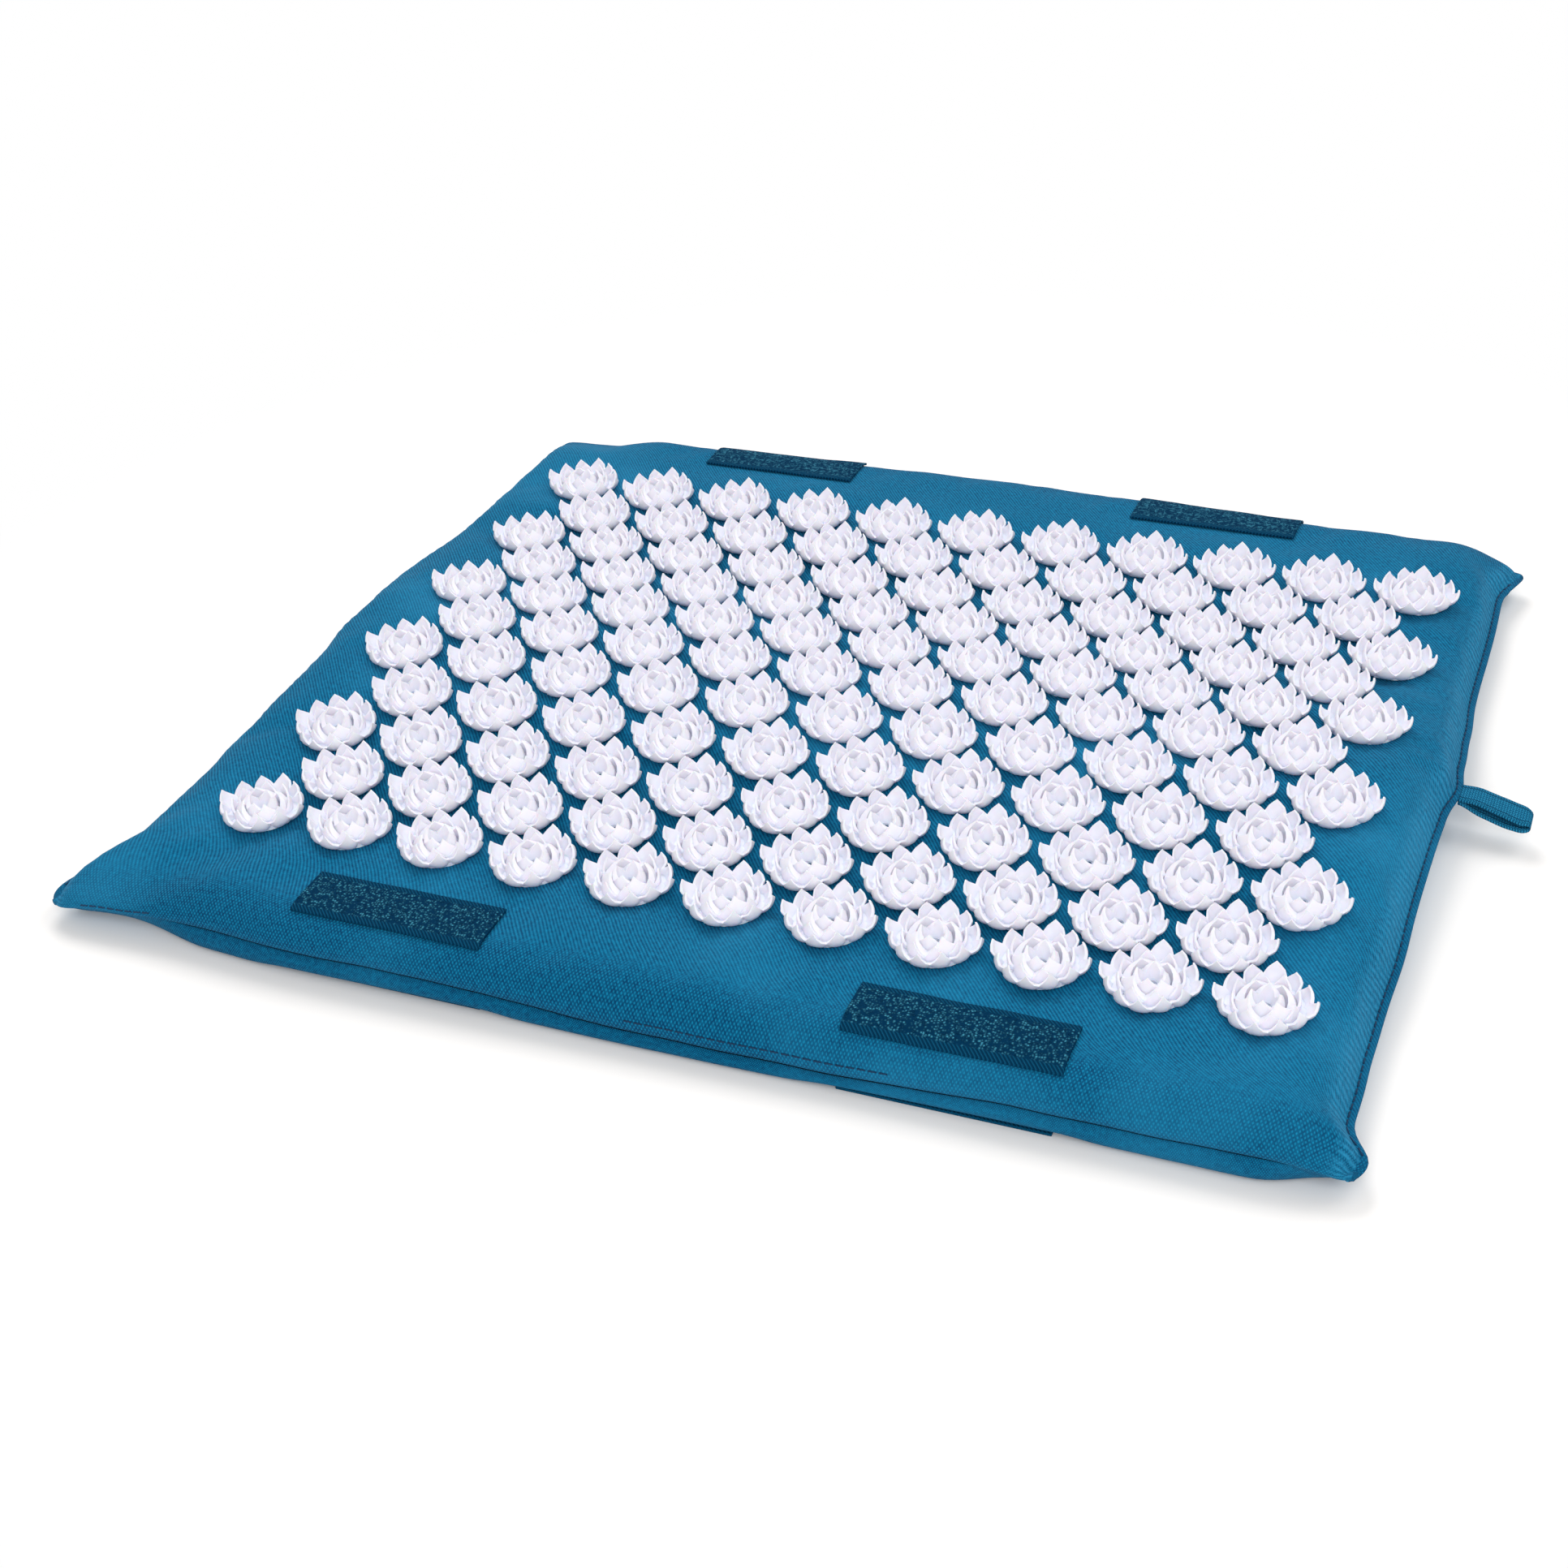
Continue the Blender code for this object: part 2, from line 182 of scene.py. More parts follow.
view = {
    "place": (0.2756, -0.6705, 0.4711),
    "turnDegrees": (56.057, 3.423, 22.017),
    "lens": 55.23,
    "sensor": 36,
}
camera = bpy.data.objects.new("camera", bpy.data.cameras.new("camera"))
camera.data.lens = view["lens"]
camera.data.sensor_width = view["sensor"]
camera.data.clip_start = 0.01
camera.location = view["place"]
camera.rotation_euler = [math.radians(turn) for turn in view["turnDegrees"]]
show(camera)
bpy.context.scene.camera = camera

studio = {
    "white": (1.0, 1.0, 1.0, 1.0),
    "floorColour": (0.9, 0.9, 0.9, 1.0),
    "floorShown": (0.95, 0.93, 0.912, 1.0),  # the floor as the camera sees it
    "floorLift": 0.02,
    "floorFade": (0.27, 0.42),  # distance from the mat's middle at which the floor turns plain white
    "floorReach": 4.0,
    "floorDrop": 0.0001,  # the mat's underside stays clear of the paper
    "domeColour": (1.0, 0.99, 0.98, 1.0),
    "dome": 0.56,
    "lamps": (
        # name, place, width, watts; each looks at the middle of the mat
        ("backLeftLamp", (-0.92, 1.35, 1.785), 1.45, 25.5),
        ("backRightLamp", (1.275, 1.105, 1.955), 1.60, 12.0),
        ("frontLamp", (0.45, -1.10, 0.95), 1.1, 9.0),
    ),
}


def makeDome():
    # a dim dome lights the mat, and the camera sees white behind it
    world = bpy.data.worlds.new("studioDome")
    bpy.context.scene.world = world
    world.use_nodes = True
    world.node_tree.nodes.clear()
    path = node(world, "LightPath")
    seen = maths(world, "MAXIMUM", path.outputs["Is Camera Ray"], path.outputs["Is Glossy Ray"])
    seen = maths(world, "MAXIMUM", seen, path.outputs["Is Transmission Ray"])
    dome = node(world, "Background", {"Color": studio["domeColour"], "Strength": studio["dome"]})
    backdrop = node(world, "Background", {"Color": studio["white"], "Strength": 1.0})
    both = node(world, "MixShader", {0: seen, 1: dome.outputs[0], 2: backdrop.outputs[0]})
    node(world, "OutputWorld", {0: both.outputs[0]})


def makeFloorPaper():
    # pale paper that fades to white away from the mat, and keeps the shadow
    paper = newFinish("floorPaper")
    light = node(paper, "LightPath")
    matt = node(paper, "BsdfDiffuse", {"Color": studio["floorColour"]})
    lift = node(paper, "Emission", {"Color": studio["white"], "Strength": studio["floorLift"]})
    pale = node(paper, "BsdfDiffuse", {"Color": studio["floorShown"]})
    both = node(paper, "AddShader", {0: pale.outputs[0], 1: lift.outputs[0]})
    spot = node(paper, "TexCoord").outputs["Object"]
    away = node(paper, "VectorMath", {0: spot}, operation="LENGTH").outputs["Value"]
    white = node(paper, "Emission", {"Color": studio["white"], "Strength": 1.0})
    fade = ramped(paper, away, *studio["floorFade"])
    shown = node(paper, "MixShader", {0: fade, 1: both.outputs[0], 2: white.outputs[0]})
    seen = light.outputs["Is Camera Ray"]
    paperShader = node(paper, "MixShader", {0: seen, 1: matt.outputs[0], 2: shown.outputs[0]})
    node(paper, "OutputMaterial", {0: paperShader.outputs[0]})
    return paper


def makeFloor():
    bm = bmesh.new()
    bmesh.ops.create_grid(bm, x_segments=4, y_segments=4, size=studio["floorReach"])
    bmesh.ops.translate(bm, verts=bm.verts, vec=(0, 0, -studio["floorDrop"]))
    mesh = bpy.data.meshes.new("floor")
    bm.to_mesh(mesh)
    bm.free()
    floor = bpy.data.objects.new("floor", mesh)
    mesh.materials.append(makeFloorPaper())
    show(floor)


def makeLamps():
    for name, place, width, watts in studio["lamps"]:
        lamp = bpy.data.objects.new(name, bpy.data.lights.new(name, "AREA"))
        lamp.data.shape = "DISK"
        lamp.data.size = width
        lamp.data.energy = watts
        lamp.location = place
        lamp.rotation_euler = (-Vector(place)).to_track_quat("-Z", "Y").to_euler()
        show(lamp)


makeDome()
makeFloor()
makeLamps()
bpy.context.scene.view_settings.view_transform = "Standard"
print("camera, floor and light ready")


# finishes

colours = {
    # valley and yarn: the weave drawn with painted shade in its valleys and a painted highlight on its
    # yarn crests
    "valley": rgb(0, 62, 100),
    "yarn": rgb(12, 136, 180),
    # fade: worn lighter streaks, and the painted highlight on the side-seam tucks
    "fade": rgb(40, 140, 184),
    # the webbing's weave: painted shade in its valleys, a painted highlight on its yarn crests
    "tapeValleyShade": rgb(4, 78, 114),
    "tapeYarnHighlight": rgb(48, 152, 194),
    "hookGround": rgb(0, 46, 76),
    # the hook tips' colour is a painted highlight on the hooks and pile
    "hookTipHighlight": rgb(66, 150, 178),
    "selvedge": rgb(12, 80, 114),
    # the underside strips' ground, lighter than the tape's own colour: painted light in the mat's shadow
    "underGroundPaintedFill": rgb(6, 78, 112),
    "thread": rgb(0, 36, 66),
    "plastic": rgb(247, 247, 252),
    # the plastic's painted shade deep in the disc
    "plasticShade": rgb(230, 229, 242),
    "foam": rgb(238, 234, 222),
    "foamDeep": rgb(222, 214, 190),
}

weave = {
    "twillSpacing": 0.00105,  # between the diagonal lines
    "twillLean": (0.769, 0.6395), # the way across the diagonal lines
    "yarnStep": 0.0007,  # one stitch of yarn along a line
    "canvasAcross": 0.00118,  # plain weave on the turned ends, laid like bricks
    "canvasAlong": 0.0019,
    "gussetShare": 0.62,  # the gusset's cloth is finer
    "gatherStep": 0.0026,  # little tucks along the side seams
    "canvasFrom": (0.158, 0.169), # how far from the middle the plain weave takes over
    "gatherFrom": (0.1995, 0.2065),
    "gatherTo": (0.2138, 0.2125),
    # where the seam allowance's painted shade starts
    "flangeFrom": (0.2130, 0.2138),
}

tapes = {
    "selvedgeFrom": (0.0074, 0.0080),  # out from the middle line of a fastener strip
    "ribStep": 0.0013,
    "webbingRib": 0.0012,
    "webbingYarn": 0.0009,
    "hemLine": 0.0030,  # rows of thread on the hanging loop, out from its middle
    "hemThread": (0.0003, 0.0001),
}


def makeCotton(name, canvasShare=1.0):
    cotton = newFinish(name)
    spot, across, along = clothPlace(cotton)
    drift = clouds(cotton, spot, 55.0)
    lean = weave["twillLean"]
    normal = timesPlus(cotton, along, lean[1], times(cotton, across, lean[0]))
    course = timesPlus(cotton, along, lean[0], times(cotton, across, -lean[1]))
    wander = times(cotton, drift, 7.0)
    line = wave(cotton, normal, weave["twillSpacing"], wander)
    stitch = wave(cotton, course, weave["yarnStep"], times(cotton, line, 2.2))
    twill = times(cotton, line, timesPlus(cotton, stitch, 0.45, 0.55))
    twill = timesPlus(cotton, twill, 0.78, 0.07)
    brickAcross = times(cotton, across, 1 / (weave["canvasAcross"] * canvasShare))
    brickAlong = times(cotton, along, 1 / (weave["canvasAlong"] * canvasShare))
    canvas = times(
        cotton,
        wave(cotton, maths(cotton, "ADD", brickAcross, brickAlong), 1.0, wander),
        wave(cotton, maths(cotton, "SUBTRACT", brickAcross, brickAlong), 1.0, wander),
    )
    endways = maths(cotton, "ABSOLUTE", along)
    cloth = mixed(cotton, ramped(cotton, endways, *weave["canvasFrom"]), twill, canvas)
    edge = maths(cotton, "ABSOLUTE", across)
    gathered = ramped(cotton, edge, *weave["gatherFrom"])
    tuckMask = times(cotton, gathered, ramped(cotton, edge, *weave["gatherTo"]))
    tucks = wave(cotton, along, weave["gatherStep"], times(cotton, drift, 14.0))
    fuzz = clouds(cotton, spot, 2600.0)
    slub = clouds(cotton, spot, 640.0, 3.0, Roughness=0.6)
    worn = clouds(cotton, spot, 14.0, 3.0)
    # the weave's colour: painted shade in its valleys and a painted highlight on its crests, with random
    # slub tone
    level = timesPlus(cotton, slub, 1.0, timesPlus(cotton, cloth, 0.82, -0.40))
    level = maths(cotton, "MINIMUM", level, 1.0)
    colour = tinted(cotton, level, colours["valley"], colours["yarn"])
    colour = tinted(cotton, ramped(cotton, worn, 0.45, 0.75, 0.0, 0.35), colour, colours["fade"])
    # the tucks along the side seams drawn lighter along their rows: a painted highlight on the tuck
    # crests
    brokenTuckHighlight = times(cotton, tucks, ramped(cotton, slub, 0.35, 0.6, 0.45, 1.0))
    rows = times(cotton, tuckMask, timesPlus(cotton, brokenTuckHighlight, 0.9, 0.08))
    colour = tinted(cotton, rows, colour, colours["fade"])
    # the seam allowance past the stitching drawn darker: painted shade in the seam's crease
    flange = times(cotton, ramped(cotton, edge, *weave["flangeFrom"]), 0.28)
    colour = tinted(cotton, flange, colour, colours["valley"])
    height = timesPlus(cotton, fuzz, 0.25, cloth)
    height = timesPlus(cotton, times(cotton, tucks, tuckMask), 0.9, height)
    return finished(
        cotton, colour, (cloth, 0.95, 0.78), height, (0.55, 0.00035),
        Specular_IOR_Level=0.08, Sheen_Weight=0.03, Sheen_Roughness=0.5,
    )


def makeHookTape(name, fuzzy, base="hookGround"):
    tape = newFinish(name)
    spot, across, along = clothPlace(tape)
    edge = ramped(tape, maths(tape, "ABSOLUTE", along), *tapes["selvedgeFrom"])
    ribs = wave(tape, maths(tape, "ADD", across, along), tapes["ribStep"])
    if fuzzy:
        pile = clouds(tape, spot, 620.0, 5.0, Roughness=0.7, Distortion=1.2)
        tips = ramped(tape, pile, 0.46, 0.72)
        field = pile
    else:
        cells = node(tape, "TexVoronoi", {"Vector": spot, "Scale": 1150.0, "Randomness": 0.85})
        field = ramped(tape, cells.outputs["Distance"], 0.66, 0.16)
        chance = node(tape, "SeparateColor", {0: cells.outputs["Color"]}).outputs[0]
        tips = times(tape, field, ramped(tape, chance, 0.0, 1.0))
    # hook and pile tips drawn lighter: a painted highlight where they catch the light
    shine = times(tape, tips, 0.7 if fuzzy else 0.9)
    ground = tinted(tape, shine, colours[base], colours["hookTipHighlight"])
    border = tinted(tape, ribs, colours[base], colours["selvedge"])
    colour = tinted(tape, edge, ground, border)
    height = mixed(tape, edge, field, ribs)
    return finished(tape, colour, (tips, 0.85, 0.45), height, (0.8, 0.0006), Specular_IOR_Level=0.03)


def makeWebbing(name):
    webbing = newFinish(name)
    spot, across, along = clothPlace(webbing)
    ribs = wave(webbing, along, tapes["webbingRib"])
    yarns = wave(webbing, across, tapes["webbingYarn"], times(webbing, ribs, 3.0))
    cloth = times(webbing, timesPlus(webbing, ribs, 0.5, 0.5), yarns)
    slub = clouds(webbing, spot, 700.0, 3.0)
    # the webbing's colour: painted shade in the weave's valleys, a painted highlight on its crests, with
    # random slub tone
    level = timesPlus(webbing, slub, 0.4, timesPlus(webbing, cloth, 0.9, -0.2))
    colour = tinted(webbing, level, colours["tapeValleyShade"], colours["tapeYarnHighlight"])
    hem = maths(webbing, "ADD", maths(webbing, "ABSOLUTE", along), -tapes["hemLine"])
    sewn = ramped(webbing, maths(webbing, "ABSOLUTE", hem), *tapes["hemThread"], 0.0, 0.8)
    colour = tinted(webbing, sewn, colour, colours["thread"])
    return finished(webbing, colour, (cloth, 0.95, 0.8), cloth, (0.7, 0.0004), Specular_IOR_Level=0.08)


def makePlastic(name):
    plastic = newFinish(name)
    spot = node(plastic, "TexCoord").outputs["Object"]
    depth = node(plastic, "Attribute", attribute_name="petalDepth").outputs["Fac"]
    cloud = clouds(plastic, spot, 260.0, 3.0)
    grain = clouds(plastic, spot, 2400.0)
    # random mottling, and painted shade that darkens the petals deep in the disc and low down
    mottleAndShade = timesPlus(plastic, cloud, 0.25, times(plastic, depth, 0.75))
    colour = tinted(plastic, mottleAndShade, colours["plastic"], colours["plasticShade"])
    height = timesPlus(plastic, cloud, 0.8, times(plastic, grain, 0.2))
    return finished(
        plastic, colour, (cloud, 0.36, 0.5), height, (0.15, 0.0002),
        Specular_IOR_Level=0.35, Subsurface_Weight=0.20, Subsurface_Scale=0.0016,
    )


def makeFoam(name):
    foam = newFinish(name)
    spot = node(foam, "TexCoord").outputs["Object"]
    pores = node(foam, "TexVoronoi", {"Vector": spot, "Scale": 900.0}).outputs["Distance"]
    cloud = clouds(foam, spot, 40.0, 3.0)
    colour = tinted(foam, cloud, colours["foam"], colours["foamDeep"])
    return finished(foam, colour, (pores, 0.95, 0.85), pores, (0.6, 0.0008), Specular_IOR_Level=0.2)


def makeThread(name):
    thread = newFinish(name)
    spot = node(thread, "TexCoord").outputs["Object"]
    twist = node(thread, "TexWave", {"Vector": spot, "Scale": 900.0, "Distortion": 2.0}).outputs["Fac"]
    colour = tinted(thread, twist, colours["thread"], colours["valley"])
    return finished(thread, colour, (twist, 0.8, 0.6), twist, (0.4, 0.0001), Specular_IOR_Level=0.3)


cotton = makeCotton("cottonTwill")
gussetCotton = makeCotton("cottonPlain", weave["gussetShare"])
hookTape = makeHookTape("hookTape", fuzzy=False)
loopTape = makeHookTape("loopTape", fuzzy=True)
# the underside strips lie in the mat's shadow, and their ground colour is lightened: painted light
underTape = makeHookTape("underTape", fuzzy=True, base="underGroundPaintedFill")
webbing = makeWebbing("cottonWebbing")
plastic = makePlastic("whitePlastic")
foamFinish = makeFoam("slabFoam")
threadFinish = makeThread("sewingThread")
print("finishes ready")


# the stuffed mat: two sewn panels over a foam slab

mat = {
    "halfWidth": 0.210,
    "halfDepth": 0.1752,
    "edgeHeight": 0.0205,
    "crownRise": 0.0067,
    "crownReach": (0.114, 0.104),  # to the front, to the back
    "crownShift": -0.008,
    "seamHeight": 0.0085,
    "seamArch": 0.8,
    "sidePull": 0.0035,  # the sides pull in between the corners and the middle
    # the corners stick out, by side (right 1, left -1) and end (back 1, front -1):
    # (how far, from and to which share of the depth)
    "ears": {
        (1, 1): (0.0042, 0.86, 1.0),
        (1, -1): (0.0078, 0.885, 0.955),
        (-1, 1): (0.0042, 0.86, 1.0),
        (-1, -1): (0.0118, 0.82, 0.955),
    },
    # how the sewn edges stray from straight: (share of the way, outwards), read off the photo
    "sideStray": {
        1: ((-1.0, 0.0), (-0.93, 0.0014), (-0.82, 0.0012), (-0.7, 0.0002), (-0.5, -0.0002),
            (-0.33, -0.0007), (-0.12, -0.0008), (-0.03, -0.0003), (0.07, 0.0024), (0.16, 0.0004),
            (0.28, -0.0010), (0.42, -0.0021), (0.85, -0.0020), (0.93, -0.0008), (1.0, 0.0004)),
        -1: ((-1.0, 0.0018), (-0.88, 0.0014), (-0.7, -0.0004), (-0.56, -0.0020), (-0.4, -0.0033),
             (-0.2, -0.0050), (0.0, -0.0034), (0.2, -0.0026), (0.42, -0.0048), (0.8, -0.0055),
             (1.0, -0.0046)),
    },
    "endStray": {
        1: ((-1.0, 0.0), (-0.75, 0.0010), (-0.45, 0.0012), (-0.28, 0.0030), (0.0, 0.0044),
            (0.28, 0.0034), (0.45, 0.0012), (0.8, 0.0008), (1.0, -0.0005)),
        -1: ((-1.0, 0.0028), (-0.9, 0.0016), (-0.75, 0.0005), (-0.55, 0.0026), (-0.3, 0.0018),
             (0.0, 0.0014), (0.3, 0.0002), (0.82, 0.0), (0.92, -0.0006), (1.0, 0.0)),
    },
    "endFlare": 0.0010,  # the ends reach a little further at the corners
    # the front seam runs lower in places: (share of the way to the right, height)
    "frontSeam": ((-1.0, 0.0), (-0.36, 0.0004), (-0.2, -0.0010), (-0.02, -0.0032), (0.25, -0.0034),
                  (0.6, -0.0008), (1.0, 0.0)),
    "seamWander": (0.0007, 0.0006),  # slow and quick ups and downs of the end seams
    "edgeWaves": (0.0007, 0.0008),  # of the side and end seams, in and out
    "seamGap": 0.00012,  # from the middle of the seam to each panel
    "earRounding": {1: 0.0060, -1: 0.0095},
    "earDroop": 0.0015,
    "cornerTuck": 0.0090,  # the gusset slips under the top panel near a corner
    "cornerSag": 0.50,  # and the top panel runs down flatter to it
    "cornerStart": {1: (0.87, 0.975), -1: (0.71, 0.88)},  # right and left, share of the width
    "sagStart": 0.84,  # share of the depth
    "tuckStart": 0.88,
    "cornerFull": 0.99,
    "rollStart": -0.0020,  # outwards from the edge
    "allowanceStep": 0.0004,  # between the roll's steps where it is pressed flat
    "cell": 0.0050,  # mesh step on the flat of the mat
    "clothThickness": 0.0009,
    "stripRelief": 0.0016,  # room for the fastener strips under the mat
    "floorGap": 0.00015,
    # steps inwards from the edge: (outwards from the edge, share of the rise to the top)
    "sideTop": ((0.0, 0.0), (-0.0003, 0.035), (-0.0016, 0.055), (-0.0022, 0.03), (-0.0028, 0.07),
                (-0.0043, 0.34), (-0.0063, 0.64), (-0.0090, 0.86), (-0.0125, 0.965), (-0.0170, 1.0)),
    "sideUnder": ((0.0, 0.0), (-0.0003, 0.05), (-0.0016, 0.08), (-0.0022, 0.05), (-0.0028, 0.10),
                  (-0.0040, 0.45), (-0.0058, 0.80), (-0.0085, 0.97), (-0.0125, 1.0), (-0.0170, 1.0)),
    "endTop": ((0.0, 0.0), (0.0009, 0.05), (0.0014, 0.16), (0.0014, 0.30), (0.0008, 0.46),
               (-0.0008, 0.64), (-0.0032, 0.82), (-0.0065, 0.945), (-0.0105, 1.0)),
    "endUnder": ((0.0, 0.0), (0.0008, 0.06), (0.0017, 0.20), (0.0023, 0.40), (0.0024, 0.60),
                 (0.0018, 0.80), (0.0002, 0.95), (-0.0030, 1.0), (-0.0105, 1.0)),
}

halfWidth, halfDepth = mat["halfWidth"], mat["halfDepth"]

strips = {
    "width": 0.0200,
    "thickness": 0.0009,
    # each row: the middles of its left and right strip, their length, and how far out it reaches
    "front": {"centres": (-0.0915, 0.0958), "length": 0.0678, "outer": 0.1713},
    "back": {"centres": (-0.0901, 0.0926), "length": 0.0645, "outer": 0.1745},
    "under": {"centres": (-0.0905, 0.0947), "length": 0.0662, "outer": 0.1760},
    "hold": (0.003, 0.009),  # how far beside a strip the cloth is held down fully and not at all
    "cells": (34, 12),
    "lift": 0.0004,  # above the cloth's own height
    "waves": 0.0003,
    "softEdge": 0.0002,
}

discs = {
    "rows": 11,
    "longRow": 11,
    "pitch": 0.0342,
    "rowPitch": 0.0248,
    "shiftX": 0.0060,
    "strayX": 0.0017,
    "shiftY": -0.0026,
    "lift": 0.0003,
    "leanDegrees": 1.0,  # how far a disc may lean or turn by chance
    "spinDegrees": 2.0,
}


def crown(y):
    away = y - mat["crownShift"]
    reach = min(abs(away) / mat["crownReach"][0 if away < 0 else 1], 1.0)
    return mat["crownRise"] * math.cos(reach * math.pi / 2) ** 2


def alongCurve(points, where):
    # a smooth way through a few (place, value) points
    if where <= points[0][0]:
        return points[0][1]
    for (a, first), (b, second) in zip(points, points[1:]):
        if where <= b:
            return first + (second - first) * smoothStep(where, a, b)
    return points[-1][1]


def seamLevel(x, y):
    slow, quick = mat["seamWander"]
    wander = slow * noise.noise((x * 17, y * 5, 3.1))
    wander += quick * noise.noise((x * 62, y * 9, 6.4))
    if y < 0:
        wander += alongCurve(mat["frontSeam"], x / halfWidth)
    wander *= smoothStep(abs(y), 0.150, 0.170)
    droop = mat["earDroop"] * smoothStep(abs(x), 0.190, 0.212) * smoothStep(abs(y), 0.158, 0.176)
    return mat["seamHeight"] + mat["seamArch"] * crown(y) + wander - droop


def halfWidthAt(side, share):
    # from the middle to the side seam, at a share of the way to the front (-1) or back (1)
    far, start, end = mat["ears"][(side, sideOf(share))]
    wide = halfWidth - mat["sidePull"] * share ** 2 + far * smoothStep(abs(share), start, end)
    return wide + alongCurve(mat["sideStray"][side], share)


def halfDepthAt(end, share):
    # from the middle to the end seam, at a share of the way to the left (-1) or right (1)
    flare = mat["endFlare"] * abs(share) ** 14
    return halfDepth + flare + alongCurve(mat["endStray"][end], share)


def ontoOutline(x0, y0, acrossShare, alongShare):
    # from a place on a straight-edged panel to the same place on the bowed and waved one
    wide = halfWidthAt(sideOf(x0), alongShare)
    deep = halfDepthAt(sideOf(y0), acrossShare)
    x = x0 * wide / halfWidth
    y = y0 * deep / halfDepth
    # soft waves along the sewn edges
    sideWave, endWave = mat["edgeWaves"]
    nearSide = smoothStep(abs(acrossShare), 0.93, 1.0)
    x += sideWave * nearSide * noise.noise((y * 28, math.copysign(4, x), 0.7))
    nearEnd = smoothStep(abs(alongShare), 0.93, 1.0)
    y += endWave * nearEnd * noise.noise((x * 16, math.copysign(5, y), 2.2))
    # blunt tips on the corner ears
    r = mat["earRounding"][sideOf(x)]
    cx, cy = wide - r, deep - r
    ox, oy = abs(x) - cx, abs(y) - cy
    if ox > 0 and oy > 0:
        scale = max(ox, oy) / math.hypot(ox, oy)
        x = math.copysign(cx + ox * scale, x)
        y = math.copysign(cy + oy * scale, y)
    return x, y


def cornerShare(acrossShare, alongShare, start):
    # 1 in a corner, 0 away from it
    near, far = mat["cornerStart"][sideOf(acrossShare)]
    return smoothStep(abs(acrossShare), near, far) * smoothStep(abs(alongShare), start, mat["cornerFull"])


def topLevel(y):
    return mat["edgeHeight"] + crown(y)


def discsInRow(row):
    return discs["longRow"] - row % 2


def rowPlace(row):
    # rows from the front
    return discs["shiftY"] + (row - (discs["rows"] - 1) / 2) * discs["rowPitch"]


def seatAcross(column, count):
    # the rows lie a little to the right, except at their right end
    x = discs["shiftX"] + (column - (count - 1) / 2) * discs["pitch"]
    return x + discs["strayX"] * (1 - smoothStep(x, 0.05, 0.19))


def discSeats():
    # (row, column, x, y, z, tilt)
    for row in range(discs["rows"]):
        y = rowPlace(row)
        front, back = topLevel(y - discs["rowPitch"] / 2), topLevel(y + discs["rowPitch"] / 2)
        count = discsInRow(row)
        for column in range(count):
            x = seatAcross(column, count)
            yield row, column, x, y, (front + back) / 2, math.atan2(back - front, discs["rowPitch"])


def nearestSeat(x, y):
    # distance to the middle of the nearest disc
    row = round((y - discs["shiftY"]) / discs["rowPitch"] + (discs["rows"] - 1) / 2)
    best = 1.0
    for near in (row - 1, row, row + 1):
        if not 0 <= near < discs["rows"]:
            continue
        count = discsInRow(near)
        column = clamp(round((x - discs["shiftX"]) / discs["pitch"] + (count - 1) / 2), 0, count - 1)
        best = min(best, math.hypot(x - seatAcross(column, count), y - rowPlace(near)))
    return best


def stripHold(x, y):
    # 1 under a fastener strip sewn on the top panel, 0 away from it
    row = strips["back"] if y > 0 else strips["front"]
    beside = min(abs(x - centre) for centre in row["centres"]) - row["length"] / 2
    inwards = row["outer"] - strips["width"] - abs(y)
    near, far = strips["hold"]
    return (1 - smoothStep(beside, near, far)) * (1 - smoothStep(inwards, near, far))


def toSides(x, y):
    # how far in from the nearest side seam
    return halfWidthAt(sideOf(x), clamp(y / halfDepth, -1, 1)) - abs(x)


def toEnds(x, y):
    # how far in from the nearest end seam
    return halfDepthAt(sideOf(y), clamp(x / halfWidth, -1, 1)) - abs(y)


def gridLines(half, steps, cell):
    # (place before shaping, steps in from the edge) for each line of the grid, from one side to the other
    inner = half + steps[-1][0]
    count = round(2 * inner / cell)
    outer = [(half + out, k) for k, (out, _) in enumerate(steps)]
    lines = [(-place, k) for place, k in outer]
    lines += [(-inner + 2 * inner * k / count, None) for k in range(1, count)]
    return lines + [(place, k) for place, k in outer[::-1]]


